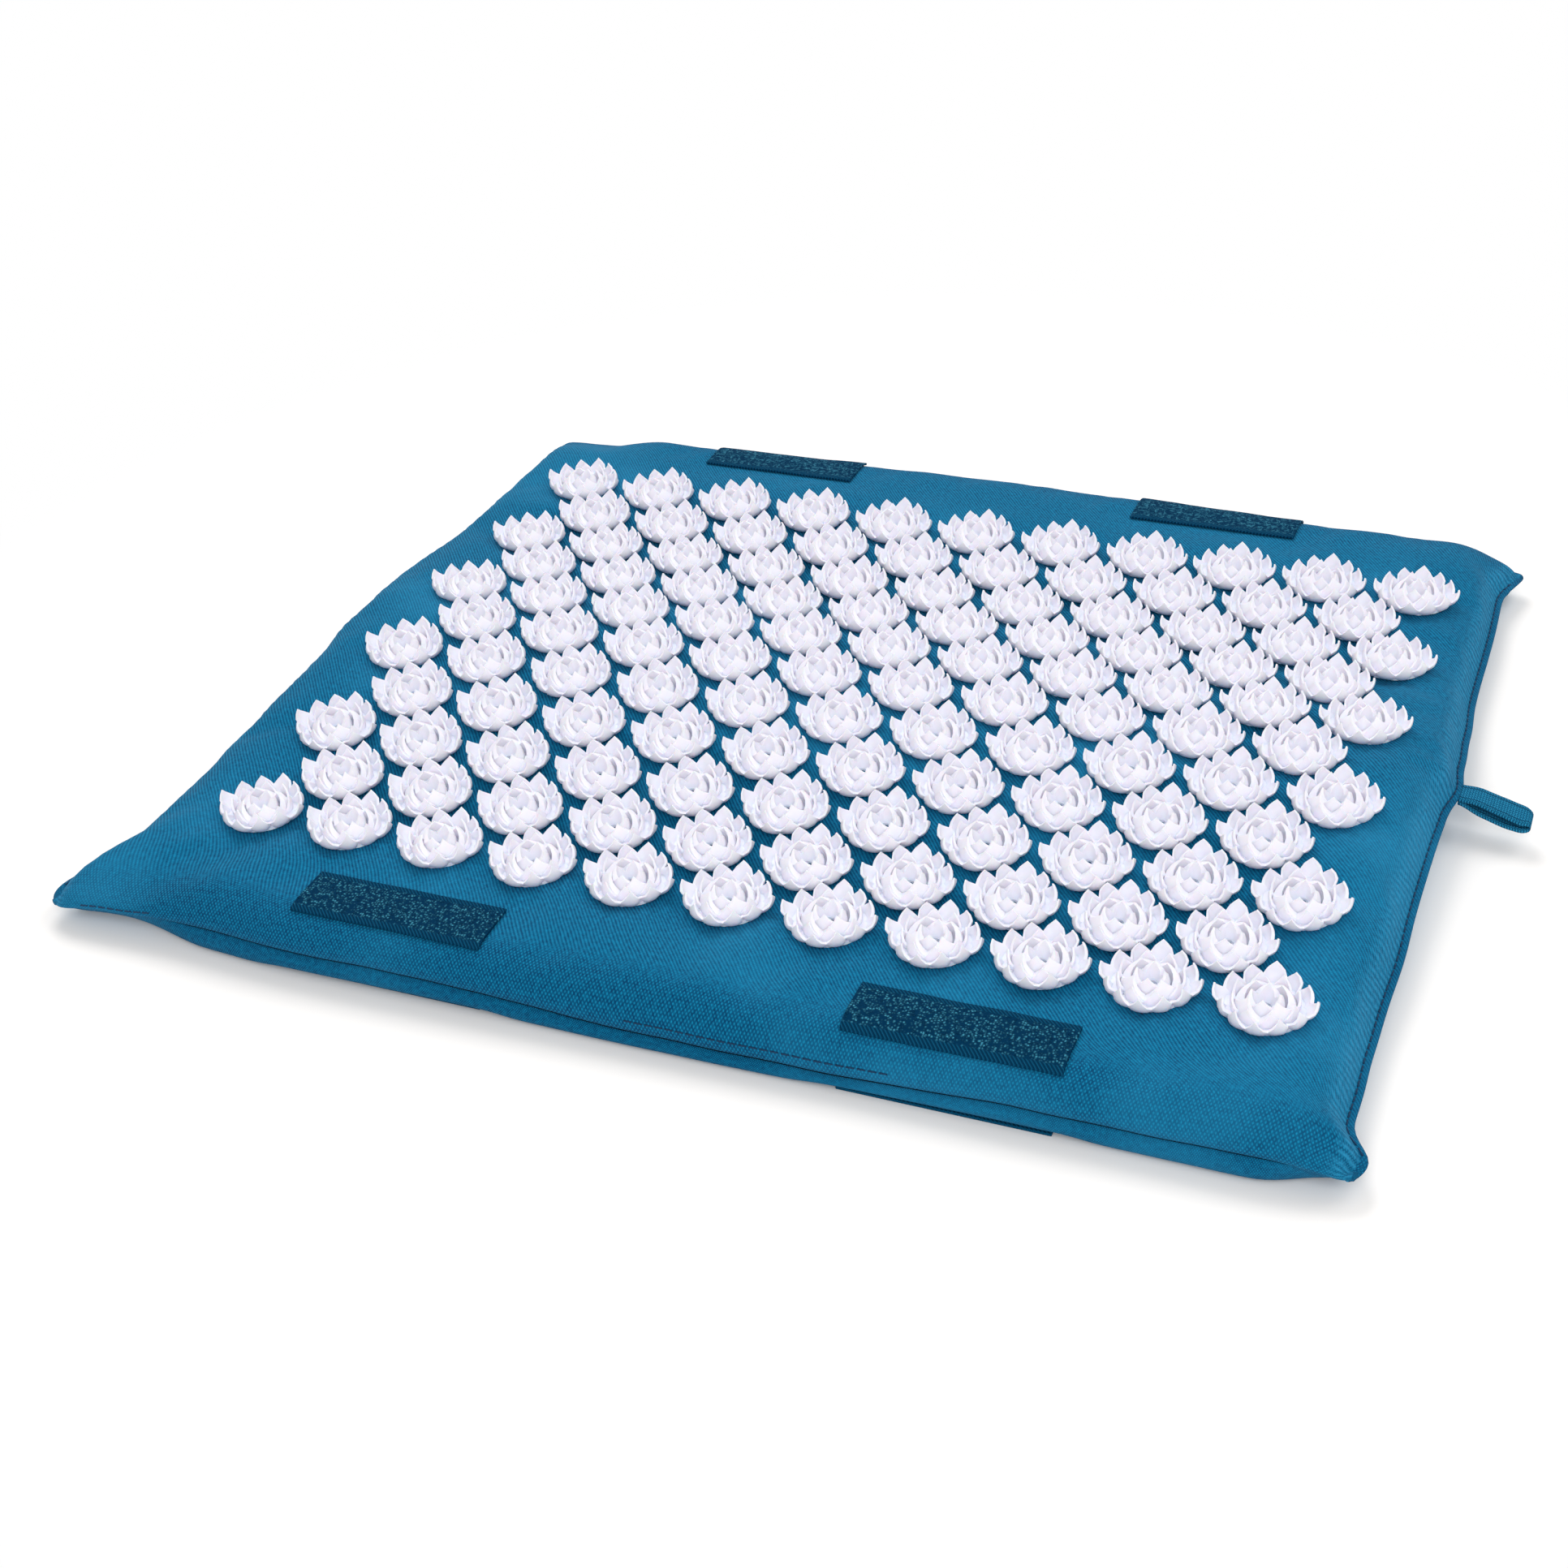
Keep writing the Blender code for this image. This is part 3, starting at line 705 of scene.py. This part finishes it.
def makePanelMesh(upper):
    # a grid drawn onto the panel's shape: flange, roll and crown, with its cloth map
    side = mat["sideTop"] if upper else mat["sideUnder"]
    end = mat["endTop"] if upper else mat["endUnder"]
    columns = gridLines(halfWidth, side, mat["cell"])
    rows = gridLines(halfDepth, end, mat["cell"])
    drop = mat["edgeHeight"] - mat["seamHeight"] if upper else mat["seamHeight"]

    def lengthsOf(lines, steps):
        # length along the cloth from the middle to each line
        lengths = [0.0]
        rise = {k: share * drop for k, (_, share) in enumerate(steps)}
        for (a, ka), (b, kb) in zip(lines, lines[1:]):
            za = rise[ka] if ka is not None else drop
            zb = rise[kb] if kb is not None else drop
            lengths.append(lengths[-1] + math.hypot(b - a, zb - za))
        return [length - lengths[-1] / 2 for length in lengths]

    u = lengthsOf(columns, side)
    v = lengthsOf(rows, end)
    bm = bmesh.new()
    bmesh.ops.create_grid(bm, x_segments=len(columns) - 1, y_segments=len(rows) - 1, size=1.0)
    cloth = bm.loops.layers.uv.new("cloth")
    spots = {}
    for vert in bm.verts:
        i = round((vert.co.x + 1) / 2 * (len(columns) - 1))
        j = round((vert.co.y + 1) / 2 * (len(rows) - 1))
        spots[vert] = (i, j)
    for face in bm.faces:
        for corner in face.loops:
            i, j = spots[corner.vert]
            corner[cloth].uv = (u[i], v[j])
    for vert, (i, j) in spots.items():
        x0, ki = columns[i]
        y0, kj = rows[j]
        acrossShare = clamp(x0 / halfWidth, -1, 1)
        alongShare = clamp(y0 / halfDepth, -1, 1)
        sideRise = side[ki][1] if ki is not None else 1.0
        endRise = end[kj][1] if kj is not None else 1.0
        if kj is not None and end[kj][0] > mat["rollStart"]:
            # towards the side seams the end's roll flattens out into the seam allowance
            out = end[kj][0] * sideRise - mat["allowanceStep"] * kj * (1 - sideRise)
            y0 = math.copysign(halfDepth + out, y0)
        x, y = ontoOutline(x0, y0, acrossShare, alongShare)
        rise = sideRise * endRise
        seam = seamLevel(x, y)
        if upper:
            sag = mat["cornerSag"] * cornerShare(acrossShare, alongShare, mat["sagStart"])
            z = seam + mat["seamGap"] + (topLevel(y) - seam) * rise * (1 - sag)
        else:
            z = seam - mat["seamGap"] - (seam - underLevel(x, y) - mat["seamGap"]) * rise
            tuckIn = mat["cornerTuck"] * cornerShare(acrossShare, alongShare, mat["tuckStart"])
            y -= math.copysign(tuckIn * rise ** 0.5, y)
        vert.co = (x, y, z)
    if not upper:
        bmesh.ops.reverse_faces(bm, faces=bm.faces)
    return bm


def underLevel(x, y):
    # the underside rests on the floor, and lifts a little over the sewn strips at its ends
    edge = smoothStep(abs(y), 0.150, 0.158)
    row = strips["under"]
    near, far = row["length"] / 2 + 0.002, row["length"] / 2 + 0.016
    over = max(1 - smoothStep(abs(x - centre), near, far) for centre in row["centres"])
    return mat["floorGap"] + (mat["stripRelief"] - mat["floorGap"]) * edge * over


swelling = {
    "seamHold": (0.0035, 0.007),  # in from a seam: held fully, held no more
    "discHold": (0.009, 0.013),  # the same, out from the middle of a disc
    "endAllowance": 0.002,  # an end seam counts as this much further off
    "pressure": 4.0,
    "mass": 0.25,
    "shrink": -0.012,  # below nothing: slack cloth
    "frames": 20,
    "limit": 0.0016,  # the most that a point of the cloth may move
}


def swell(piece):
    # air pressure swells the cloth between the stitched edge and the discs that hold it down
    rest = [vert.co.copy() for vert in piece.data.vertices]
    held = piece.vertex_groups.new(name="held")
    for vert in piece.data.vertices:
        x, y, _ = vert.co
        toEdge = min(toSides(x, y), toEnds(x, y) + swelling["endAllowance"])
        edgeHold = 1 - smoothStep(toEdge, *swelling["seamHold"])
        discHold = 1 - smoothStep(nearestSeat(x, y), *swelling["discHold"])
        weight = max(edgeHold, discHold, stripHold(x, y))
        if weight > 0:
            held.add([vert.index], weight, "REPLACE")
    cloth = piece.modifiers.new("swell", "CLOTH")
    cloth.settings.vertex_group_mass = "held"
    cloth.settings.use_pressure = True
    cloth.settings.uniform_pressure_force = swelling["pressure"]
    cloth.settings.quality = 5
    cloth.settings.mass = swelling["mass"]
    cloth.settings.shrink_min = swelling["shrink"]
    cloth.settings.effector_weights.gravity = 0.0
    cloth.collision_settings.use_collision = False
    cloth.point_cache.frame_start, cloth.point_cache.frame_end = 1, swelling["frames"]
    for step in range(1, swelling["frames"] + 1):
        bpy.context.scene.frame_set(step)
    workInModifiers(piece)
    bpy.context.scene.frame_set(1)
    print("top panel swollen")
    for vert, start in zip(piece.data.vertices, rest):
        move = vert.co - start
        if move.length > swelling["limit"]:
            vert.co = start + move * (swelling["limit"] / move.length)


def refine(piece):
    finer = piece.modifiers.new("finer", "SUBSURF")
    finer.levels = finer.render_levels = 1
    workInModifiers(piece)


folds = {
    "field": (0.200, 0.168, 0.012),  # half its width and depth, and its soft margin
    "pull": (-0.00035, 0.0135, 0.0022),  # round a disc: height, distance from its middle, width
    # between the discs: height, how fast they change, from and to which distance they grow, seed
    "slack": ((0.00035, 55, 0.012, 0.020, 1.3), (0.0007, 18, 0.018, 0.030, 8.3)),
    "tuck": (0.00022, 0.0052),  # along the side seams: height, step
    "tuckFrom": (0.0025, 0.0045),  # in from the seam
    "tuckTo": (0.007, 0.014),
}


def dressTopPanel(piece):
    # sewn-in tucks, pulls round the discs and slack folds between them
    halfWide, halfDeep, margin = folds["field"]
    depth, ring, width = folds["pull"]
    tuck, step = folds["tuck"]
    for vert in piece.data.vertices:
        x, y, z = vert.co
        away = nearestSeat(x, y)
        pinch = depth * math.exp(-((away - ring) / width) ** 2)
        flat = smoothStep(min(halfWide - abs(x), halfDeep - abs(y)), 0.0, margin)
        slack = 0.0
        for height, rate, near, far, seed in folds["slack"]:
            grown = height * flat * smoothStep(away, near, far)
            slack += grown * noise.noise((x * rate, y * rate, seed))
        slack *= 1 - stripHold(x, y)
        inFromSide = toSides(x, y)
        side = smoothStep(inFromSide, *folds["tuckFrom"]) * (1 - smoothStep(inFromSide, *folds["tuckTo"]))
        turn = 2 * math.pi * y / step + 3 * noise.noise((y * 40, x, 0))
        vert.co.z = z + pinch * flat + slack + tuck * side * math.sin(turn)


def thicken(piece):
    cloth = piece.modifiers.new("clothThickness", "SOLIDIFY")
    cloth.thickness = mat["clothThickness"]
    cloth.offset = -1.0
    cloth.use_even_offset = False


slab = {
    "inset": (0.0135, 0.006),  # in from the sides and from the ends
    "gap": 0.0016,  # to each panel
    "cuts": 47,
    "squeeze": 0.30,  # the share of its thickness lost at the edge
    "squeezeReach": 0.010,
    "corner": 0.045,  # where a corner's rounding starts, in from the edge
    "cornerPull": (0.07, 0.08),
}


def makeFoamSlab():
    # the slab fills the cover a little inside both panels
    wide, deep = halfWidth - slab["inset"][0], halfDepth - slab["inset"][1]
    pullX, pullY = slab["cornerPull"]
    bm = bmesh.new()
    bmesh.ops.create_cube(bm, size=2.0)
    bmesh.ops.subdivide_edges(bm, edges=bm.edges, cuts=slab["cuts"], use_grid_fill=True)
    for vert in bm.verts:
        x, y = vert.co.x * wide, vert.co.y * deep
        low, high = underLevel(x, y) + slab["gap"], topLevel(y) - slab["gap"]
        toEdge = min(wide - abs(x), deep - abs(y))
        squeeze = slab["squeeze"] * (1 - smoothStep(toEdge, 0.0, slab["squeezeReach"]))
        # rounded corners, clear of the sagging cloth
        pull = smoothStep(abs(x), wide - slab["corner"], wide)
        pull *= smoothStep(abs(y), deep - slab["corner"], deep)
        x, y = x * (1 - pullX * pull), y * (1 - pullY * pull)
        middle, half = (low + high) / 2, (high - low) / 2
        vert.co = (x, y, middle + vert.co.z * half * (1 - squeeze))
    bmesh.ops.recalc_face_normals(bm, faces=bm.faces)
    return pieceFrom(bm, "foamSlab", foamFinish)


topPanel = pieceFrom(makePanelMesh(upper=True), "topPanel", cotton)
swell(topPanel)
refine(topPanel)
dressTopPanel(topPanel)
thicken(topPanel)
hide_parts("top_panel")

bottomPanel = pieceFrom(makePanelMesh(upper=False), "bottomPanel", gussetCotton)
refine(bottomPanel)
thicken(bottomPanel)
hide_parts("bottom_panel")

foamSlab = makeFoamSlab()
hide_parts("foam_core")
print("stuffed mat ready")


# lotus discs

petals = {
    # each ring of petals is one wall with a zigzag top edge; sizes in metres
    "rings": (
        {  # outer petals
            "tips": ((0, 0.0153, 0.0064), (30, 0.0130, 0.0066), (60, 0.0130, 0.0066),
                     (90, 0.0148, 0.0066), (120, 0.0130, 0.0066), (150, 0.0130, 0.0066)),
            "foot": 0.0121, "belly": 0.0017, "valley": 0.38, "wall": (0.0017, 0.0005),
            "notch": 0.0010, "deepNotch": 0.0027, "columns": 6,
        },
        {  # middle petals
            "tips": ((20, 0.0098, 0.0064), (70, 0.0098, 0.0064),
                     (110, 0.0098, 0.0064), (160, 0.0098, 0.0064)),
            "foot": 0.0098, "belly": 0.0005, "valley": 0.24, "wall": (0.0012, 0.0005),
            "notch": 0.0009, "deepNotch": 0.0016, "columns": 6,
        },
        {  # diagonal petals
            "tips": ((45, 0.0058, 0.0067), (135, 0.0058, 0.0067)),
            "foot": 0.0090, "belly": 0.0010, "valley": 0.27, "wall": (0.0036, 0.0005),
            "notch": 0.0003, "deepNotch": 0.0003, "columns": 8,
        },
        {  # heart
            "tips": ((0, 0.0044, 0.0065), (90, 0.0044, 0.0065)),
            "foot": 0.0058, "belly": 0.0004, "valley": 0.45, "wall": (0.0039, 0.0005),
            "notch": 0.0004, "deepNotch": 0.0004, "columns": 6,
        },
    ),
    # up the outside of a wall and down its inside, as shares of its height there
    "outside": (0.0, 0.25, 0.5, 0.78, 1.0),
    "inside": (1.0, 0.65, 0.3, 0.0),
    "plateRadius": 0.0120,
    "plateHeight": 0.0009,
    "eyelet": 0.0019,
    "sharpDegrees": 38,
}


def petalRing(bm, depth, ring):
    # a grid drawn onto the ring: its columns go round the disc, its rows over the wall and back
    tips = [(angle + turn, radius, height) for turn in (0, 180) for angle, radius, height in ring["tips"]]
    edges = [(tips[k - 1][0] - (360 if k == 0 else 0) + tips[k][0]) / 2 for k in range(len(tips))]
    edges.append(edges[0] + 360)
    section = [(True, share) for share in petals["outside"]]
    section += [(False, share) for share in petals["inside"]]
    step, columns = ring["columns"], ring["columns"] * len(tips)
    made = bmesh.ops.create_grid(bm, x_segments=columns, y_segments=len(section), size=1.0)["verts"]

    def wallPoint(k, u, outside, share):
        _, tip, height = tips[k]
        edge = edges[k] if u < 0 else edges[k + 1]
        top = height * (1 - (1 - ring["valley"]) * abs(u) ** 0.88)
        rise = share * top / height
        notch = ring["deepNotch"] if round(edge) % 90 == 45 else ring["notch"]
        radius = ring["foot"] + (tip - ring["foot"]) * rise
        radius += ring["belly"] * math.sin(math.pi * rise ** 0.8)
        radius -= notch * abs(u) ** 3 * (1 - 0.5 * rise)
        if not outside:
            foot, rim = ring["wall"]
            radius -= rim + (foot - rim) * (1 - rise) ** 1.2
        return radius, share * top

    for vert in made:
        column = round((vert.co.x + 1) / 2 * columns)
        row = round((vert.co.y + 1) / 2 * len(section)) % len(section)
        outside, share = section[row]
        k, along = column // step % len(tips), column % step
        u = 2 * along / step - 1
        radius, z = wallPoint(k, u, outside, share)
        if along == 0:
            otherRadius, otherZ = wallPoint(k - 1 if k else len(tips) - 1, 1.0, outside, share)
            radius, z = (radius + otherRadius) / 2, (z + otherZ) / 2
        centre = tips[k][0]
        reach = centre - edges[k] if u < 0 else edges[k + 1] - centre
        angle = math.radians(centre + u * reach)
        vert.co = (radius * math.cos(angle), radius * math.sin(angle), z)
        # how deep a point lies in the disc, for the plastic's painted shade
        vert[depth] = 1 - z / tips[k][2] * (1.0 if outside else 0.85)
    bmesh.ops.remove_doubles(bm, verts=made, dist=0.000005)


def makeDiscShape():
    bm = bmesh.new()
    depth = bm.verts.layers.float.new("petalDepth")
    for ring in petals["rings"]:
        petalRing(bm, depth, ring)
    bmesh.ops.recalc_face_normals(bm, faces=bm.faces)
    # a round base plate with its eyelet
    plate = bmesh.new()
    rings = []
    for level in (0.0, petals["plateHeight"]):
        for radius in (petals["plateRadius"], petals["eyelet"]):
            circle = bmesh.ops.create_circle(plate, segments=24, radius=radius)["verts"]
            bmesh.ops.translate(plate, verts=circle, vec=(0, 0, level))
            rings.append(circle)
    for first, second in ((0, 1), (1, 3), (3, 2), (2, 0)):
        pair = (rings[first], rings[second])
        edges = [
            edge for edge in plate.edges
            if any(all(vert in circle for vert in edge.verts) for circle in pair)
        ]
        bmesh.ops.bridge_loops(plate, edges=edges)
    bmesh.ops.recalc_face_normals(plate, faces=plate.faces)
    plateMesh = bpy.data.meshes.new("discPlate")
    plate.to_mesh(plateMesh)
    plate.free()
    count = len(bm.verts)
    bm.from_mesh(plateMesh)
    bm.verts.ensure_lookup_table()
    # the base plate counts as deepest: full painted shade
    for vert in bm.verts[count:]:
        vert[depth] = 1.0
    bpy.data.meshes.remove(plateMesh)
    for edge in bm.edges:
        edge.smooth = edge.calc_face_angle(0.0) < math.radians(petals["sharpDegrees"])
    mesh = bpy.data.meshes.new("lotusDisc")
    bm.to_mesh(mesh)
    bm.free()
    return mesh


def strayTurn(degrees, axis, turn=0.0):
    return Matrix.Rotation(turn + math.radians(random.uniform(-degrees, degrees)), 4, axis)


def makeDiscs():
    pattern = makeDiscShape()
    for row, column, x, y, z, tilt in discSeats():
        name = f"lotusDisc_r{row + 1:02d}_c{column + 1:02d}"
        bm = bmesh.new()
        bm.from_mesh(pattern)
        lean = strayTurn(discs["leanDegrees"], "X", tilt)
        roll = strayTurn(discs["leanDegrees"], "Y")
        spin = strayTurn(discs["spinDegrees"], "Z")
        seat = Matrix.Translation((x, y, z + discs["lift"]))
        bmesh.ops.transform(bm, verts=bm.verts, matrix=seat @ lean @ roll @ spin)
        disc = pieceFrom(bm, name, plastic)
        rim = row in (0, discs["rows"] - 1) or column in (0, discsInRow(row) - 1)
        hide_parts(f"lotus_disc_r{row + 1:02d}_c{column + 1:02d}" if rim else "top_panel")
    print("lotus discs ready, faces each:", len(pattern.polygons))
    bpy.data.meshes.remove(pattern)


makeDiscs()


# fastener strips

def endHeight(distanceIn):
    # share of the rise of the top panel at a distance in from the end seam, over its roll
    steps = mat["endTop"]
    if distanceIn >= -steps[-1][0]:
        return 1.0
    pairs = [(-out, share) for out, share in steps if out <= 0.0008]
    for (d0, s0), (d1, s1) in zip(pairs, pairs[1:]):
        if d0 <= distanceIn <= d1:
            return s0 + (s1 - s0) * (distanceIn - d0) / (d1 - d0)
    return pairs[0][1]


def makeStrip(name, row, k, inwards, finish):
    # woven tape with square ends, laid over the panel's curve; the k-th of its row
    across, along = row["length"] / 2, strips["width"]
    columns, lines = strips["cells"]
    bm = bmesh.new()
    bmesh.ops.create_grid(bm, x_segments=columns, y_segments=lines, size=1.0)
    cloth = bm.loops.layers.uv.new("cloth")
    for face in bm.faces:
        for corner in face.loops:
            corner[cloth].uv = (corner.vert.co.x * across, corner.vert.co.y * along / 2)
    for vert in bm.verts:
        u, v = vert.co.x, (vert.co.y + 1) / 2
        y = -inwards * row["outer"] + inwards * v * along
        x = row["centres"][k] + u * across
        z = 0.0
        if row is not strips["under"]:
            inside = halfDepthAt(sideOf(y), x / halfWidth) - abs(y)
            seam = seamLevel(x, y)
            z = seam + (topLevel(y) - seam) * endHeight(inside) + strips["lift"]
            z += strips["waves"] * noise.noise((x * 60, y * 60, 5.0))
        vert.co = (x, y, z)
    if inwards < 0:
        bmesh.ops.reverse_faces(bm, faces=bm.faces)
    bmesh.ops.solidify(bm, geom=bm.faces[:], thickness=-strips["thickness"])
    bmesh.ops.recalc_face_normals(bm, faces=bm.faces)
    strip = pieceFrom(bm, name, finish)
    edge = strip.modifiers.new("softEdge", "BEVEL")
    edge.width, edge.segments, edge.limit_method = strips["softEdge"], 2, "ANGLE"
    return strip


for k, hand in enumerate(("left", "right")):
    front = makeStrip(f"frontHookStrip_{hand}", strips["front"], k, 1, hookTape)
    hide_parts(f"top_strip_front_{hand}")
    back = makeStrip(f"backLoopStrip_{hand}", strips["back"], k, -1, loopTape)
    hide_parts(f"top_strip_back_{hand}")
    lowFront = makeStrip(f"underFrontStrip_{hand}", strips["under"], k, 1, underTape)
    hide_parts(f"underside_strip_front_{hand}")
    lowBack = makeStrip(f"underBackStrip_{hand}", strips["under"], k, -1, underTape)
    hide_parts(f"underside_strip_back_{hand}")
print("fastener strips ready")


# hanging loop

loop = {
    "root": (0.2112, 0.0112, 0.0133),
    "length": 0.0240,
    "width": 0.0088,
    "tape": 0.0010,
    "opening": 0.0038,
    "droop": 0.0036,
    "drift": -0.0040,
    "points": 44,
    # how open the fold is at the root, and how it widens and narrows after it, and the tape
    # tapers, each as (share, from and to which share of the length)
    "rootShare": 0.35,
    "opens": (0.65, 0.0, 0.30),
    "narrows": (0.25, 0.6, 0.9),
    "taper": (0.30, 0.80, 1.0),
    "droopsTo": 0.9,
    "twist": 0.0007,
}


def changed(along, change):
    share, start, stop = change
    return share * smoothStep(along, start, stop)


def makeLoop():
    # one tape folded back on itself: a grid drawn along the folded path, then thickened
    bm = bmesh.new()
    bmesh.ops.create_grid(bm, x_segments=loop["points"], y_segments=6, size=1.0)
    cloth = bm.loops.layers.uv.new("cloth")
    reach = loop["length"]
    bend = loop["opening"] / 2
    straight = reach - bend
    total = 2 * straight + math.pi * bend

    def pathPoint(share):
        # (how far out, how high) at a share of the tape's length
        run = share * total
        if run < straight:
            return run, bend
        if run < straight + math.pi * bend:
            turn = (run - straight) / bend
            return straight + bend * math.sin(turn), bend * math.cos(turn)
        return total - run, -bend

    for face in bm.faces:
        for corner in face.loops:
            co = corner.vert.co
            corner[cloth].uv = ((co.x + 1) / 2 * total, co.y * loop["width"] / 2)
    for vert in bm.verts:
        share, v = (vert.co.x + 1) / 2, vert.co.y
        out, gap = pathPoint(share)
        along = clamp(out / reach, 0, 1)
        gap *= loop["rootShare"] + changed(along, loop["opens"]) - changed(along, loop["narrows"])
        narrowing, start, stop = loop["taper"]
        v *= 1 - narrowing * smoothStep(along, start, stop) ** 2
        bent = min(along, loop["droopsTo"]) / loop["droopsTo"]
        z = loop["root"][2] + gap - loop["droop"] * math.sin(bent * math.pi / 2) ** 1.3
        y = loop["root"][1] + loop["drift"] * along ** 1.5 + v * loop["width"] / 2
        z += loop["twist"] * v * along
        vert.co = (loop["root"][0] + out, y, z)
    bmesh.ops.solidify(bm, geom=bm.faces[:], thickness=loop["tape"])
    bmesh.ops.recalc_face_normals(bm, faces=bm.faces)
    piece = pieceFrom(bm, "hangingLoop", webbing, body="hanging_loop")
    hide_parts("hanging_loop")


makeLoop()
print("hanging loop ready")


# sewing thread along the side seams and the front seam

stitching = {
    "step": 0.0034,
    "length": 0.0025,
    "radius": 0.00030,
    "thin": 0.8,  # the radius of a stitch's far end, as a share of the near one
    "proud": 0.4,  # how far its middle stands off the cloth, as a share of its radius
    "searchLift": 0.0005,  # the search for the cloth starts a little above the seam
    "inFromEdge": 0.0021,
    "reach": 0.1655,
    "onRoll": (0.0011, 0.33),  # outwards from the front edge, share of the rise
    "frontSpans": ((-0.2040, -0.1760), (-0.0060, 0.0820)),
}


def sideSeamPlace(hand, y0):
    x0 = hand * (halfWidth - stitching["inFromEdge"])
    x, y = ontoOutline(x0, y0, x0 / halfWidth, y0 / halfDepth)
    return Vector((x, y, seamLevel(x, y) + stitching["searchLift"]))


def frontSeamPlace(x):
    out, rise = stitching["onRoll"]
    x0 = x * halfWidth / halfWidthAt(sideOf(x), -1)
    x, y = ontoOutline(x0, -halfDepth - out, x0 / halfWidth, -1)
    seam = seamLevel(x, y)
    sag = mat["cornerSag"] * cornerShare(x0 / halfWidth, -1, mat["sagStart"])
    return Vector((x, y, seam + (topLevel(y) - seam) * rise * (1 - sag)))


def clothFinder(piece):
    # finds the nearest place on a piece's mesh
    bm = bmesh.new()
    bm.from_mesh(piece.data)
    finder = BVHTree.FromBMesh(bm)
    bm.free()
    return finder


def makeStitching(name, placeAt, spans):
    # each stitch lies on the finished top panel, along its row
    bm = bmesh.new()
    half, radius = stitching["length"] / 2, stitching["radius"]
    for start, stop in spans:
        for k in range(int((stop - start) / stitching["step"])):
            at = start + (k + 0.5) * stitching["step"]
            first = topCloth.find_nearest(placeAt(at - half))[0]
            last = topCloth.find_nearest(placeAt(at + half))[0]
            middle, way = (first + last) / 2, last - first
            lift = topCloth.find_nearest(middle)[1] * radius * stitching["proud"]
            made = bmesh.ops.create_cone(
                bm, cap_ends=True, segments=6,
                radius1=radius, radius2=radius * stitching["thin"], depth=way.length,
            )["verts"]
            turn = Vector((0, 0, 1)).rotation_difference(way).to_matrix()
            bmesh.ops.rotate(bm, verts=made, cent=(0, 0, 0), matrix=turn)
            bmesh.ops.translate(bm, verts=made, vec=middle + lift)
    piece = pieceFrom(bm, name, threadFinish)


topCloth = clothFinder(topPanel)
sideSpan = ((-stitching["reach"], stitching["reach"]),)
makeStitching("rightStitching", lambda y: sideSeamPlace(1, y), sideSpan)
makeStitching("leftStitching", lambda y: sideSeamPlace(-1, y), sideSpan)
makeStitching("frontStitching", frontSeamPlace, stitching["frontSpans"])
print("stitching ready")
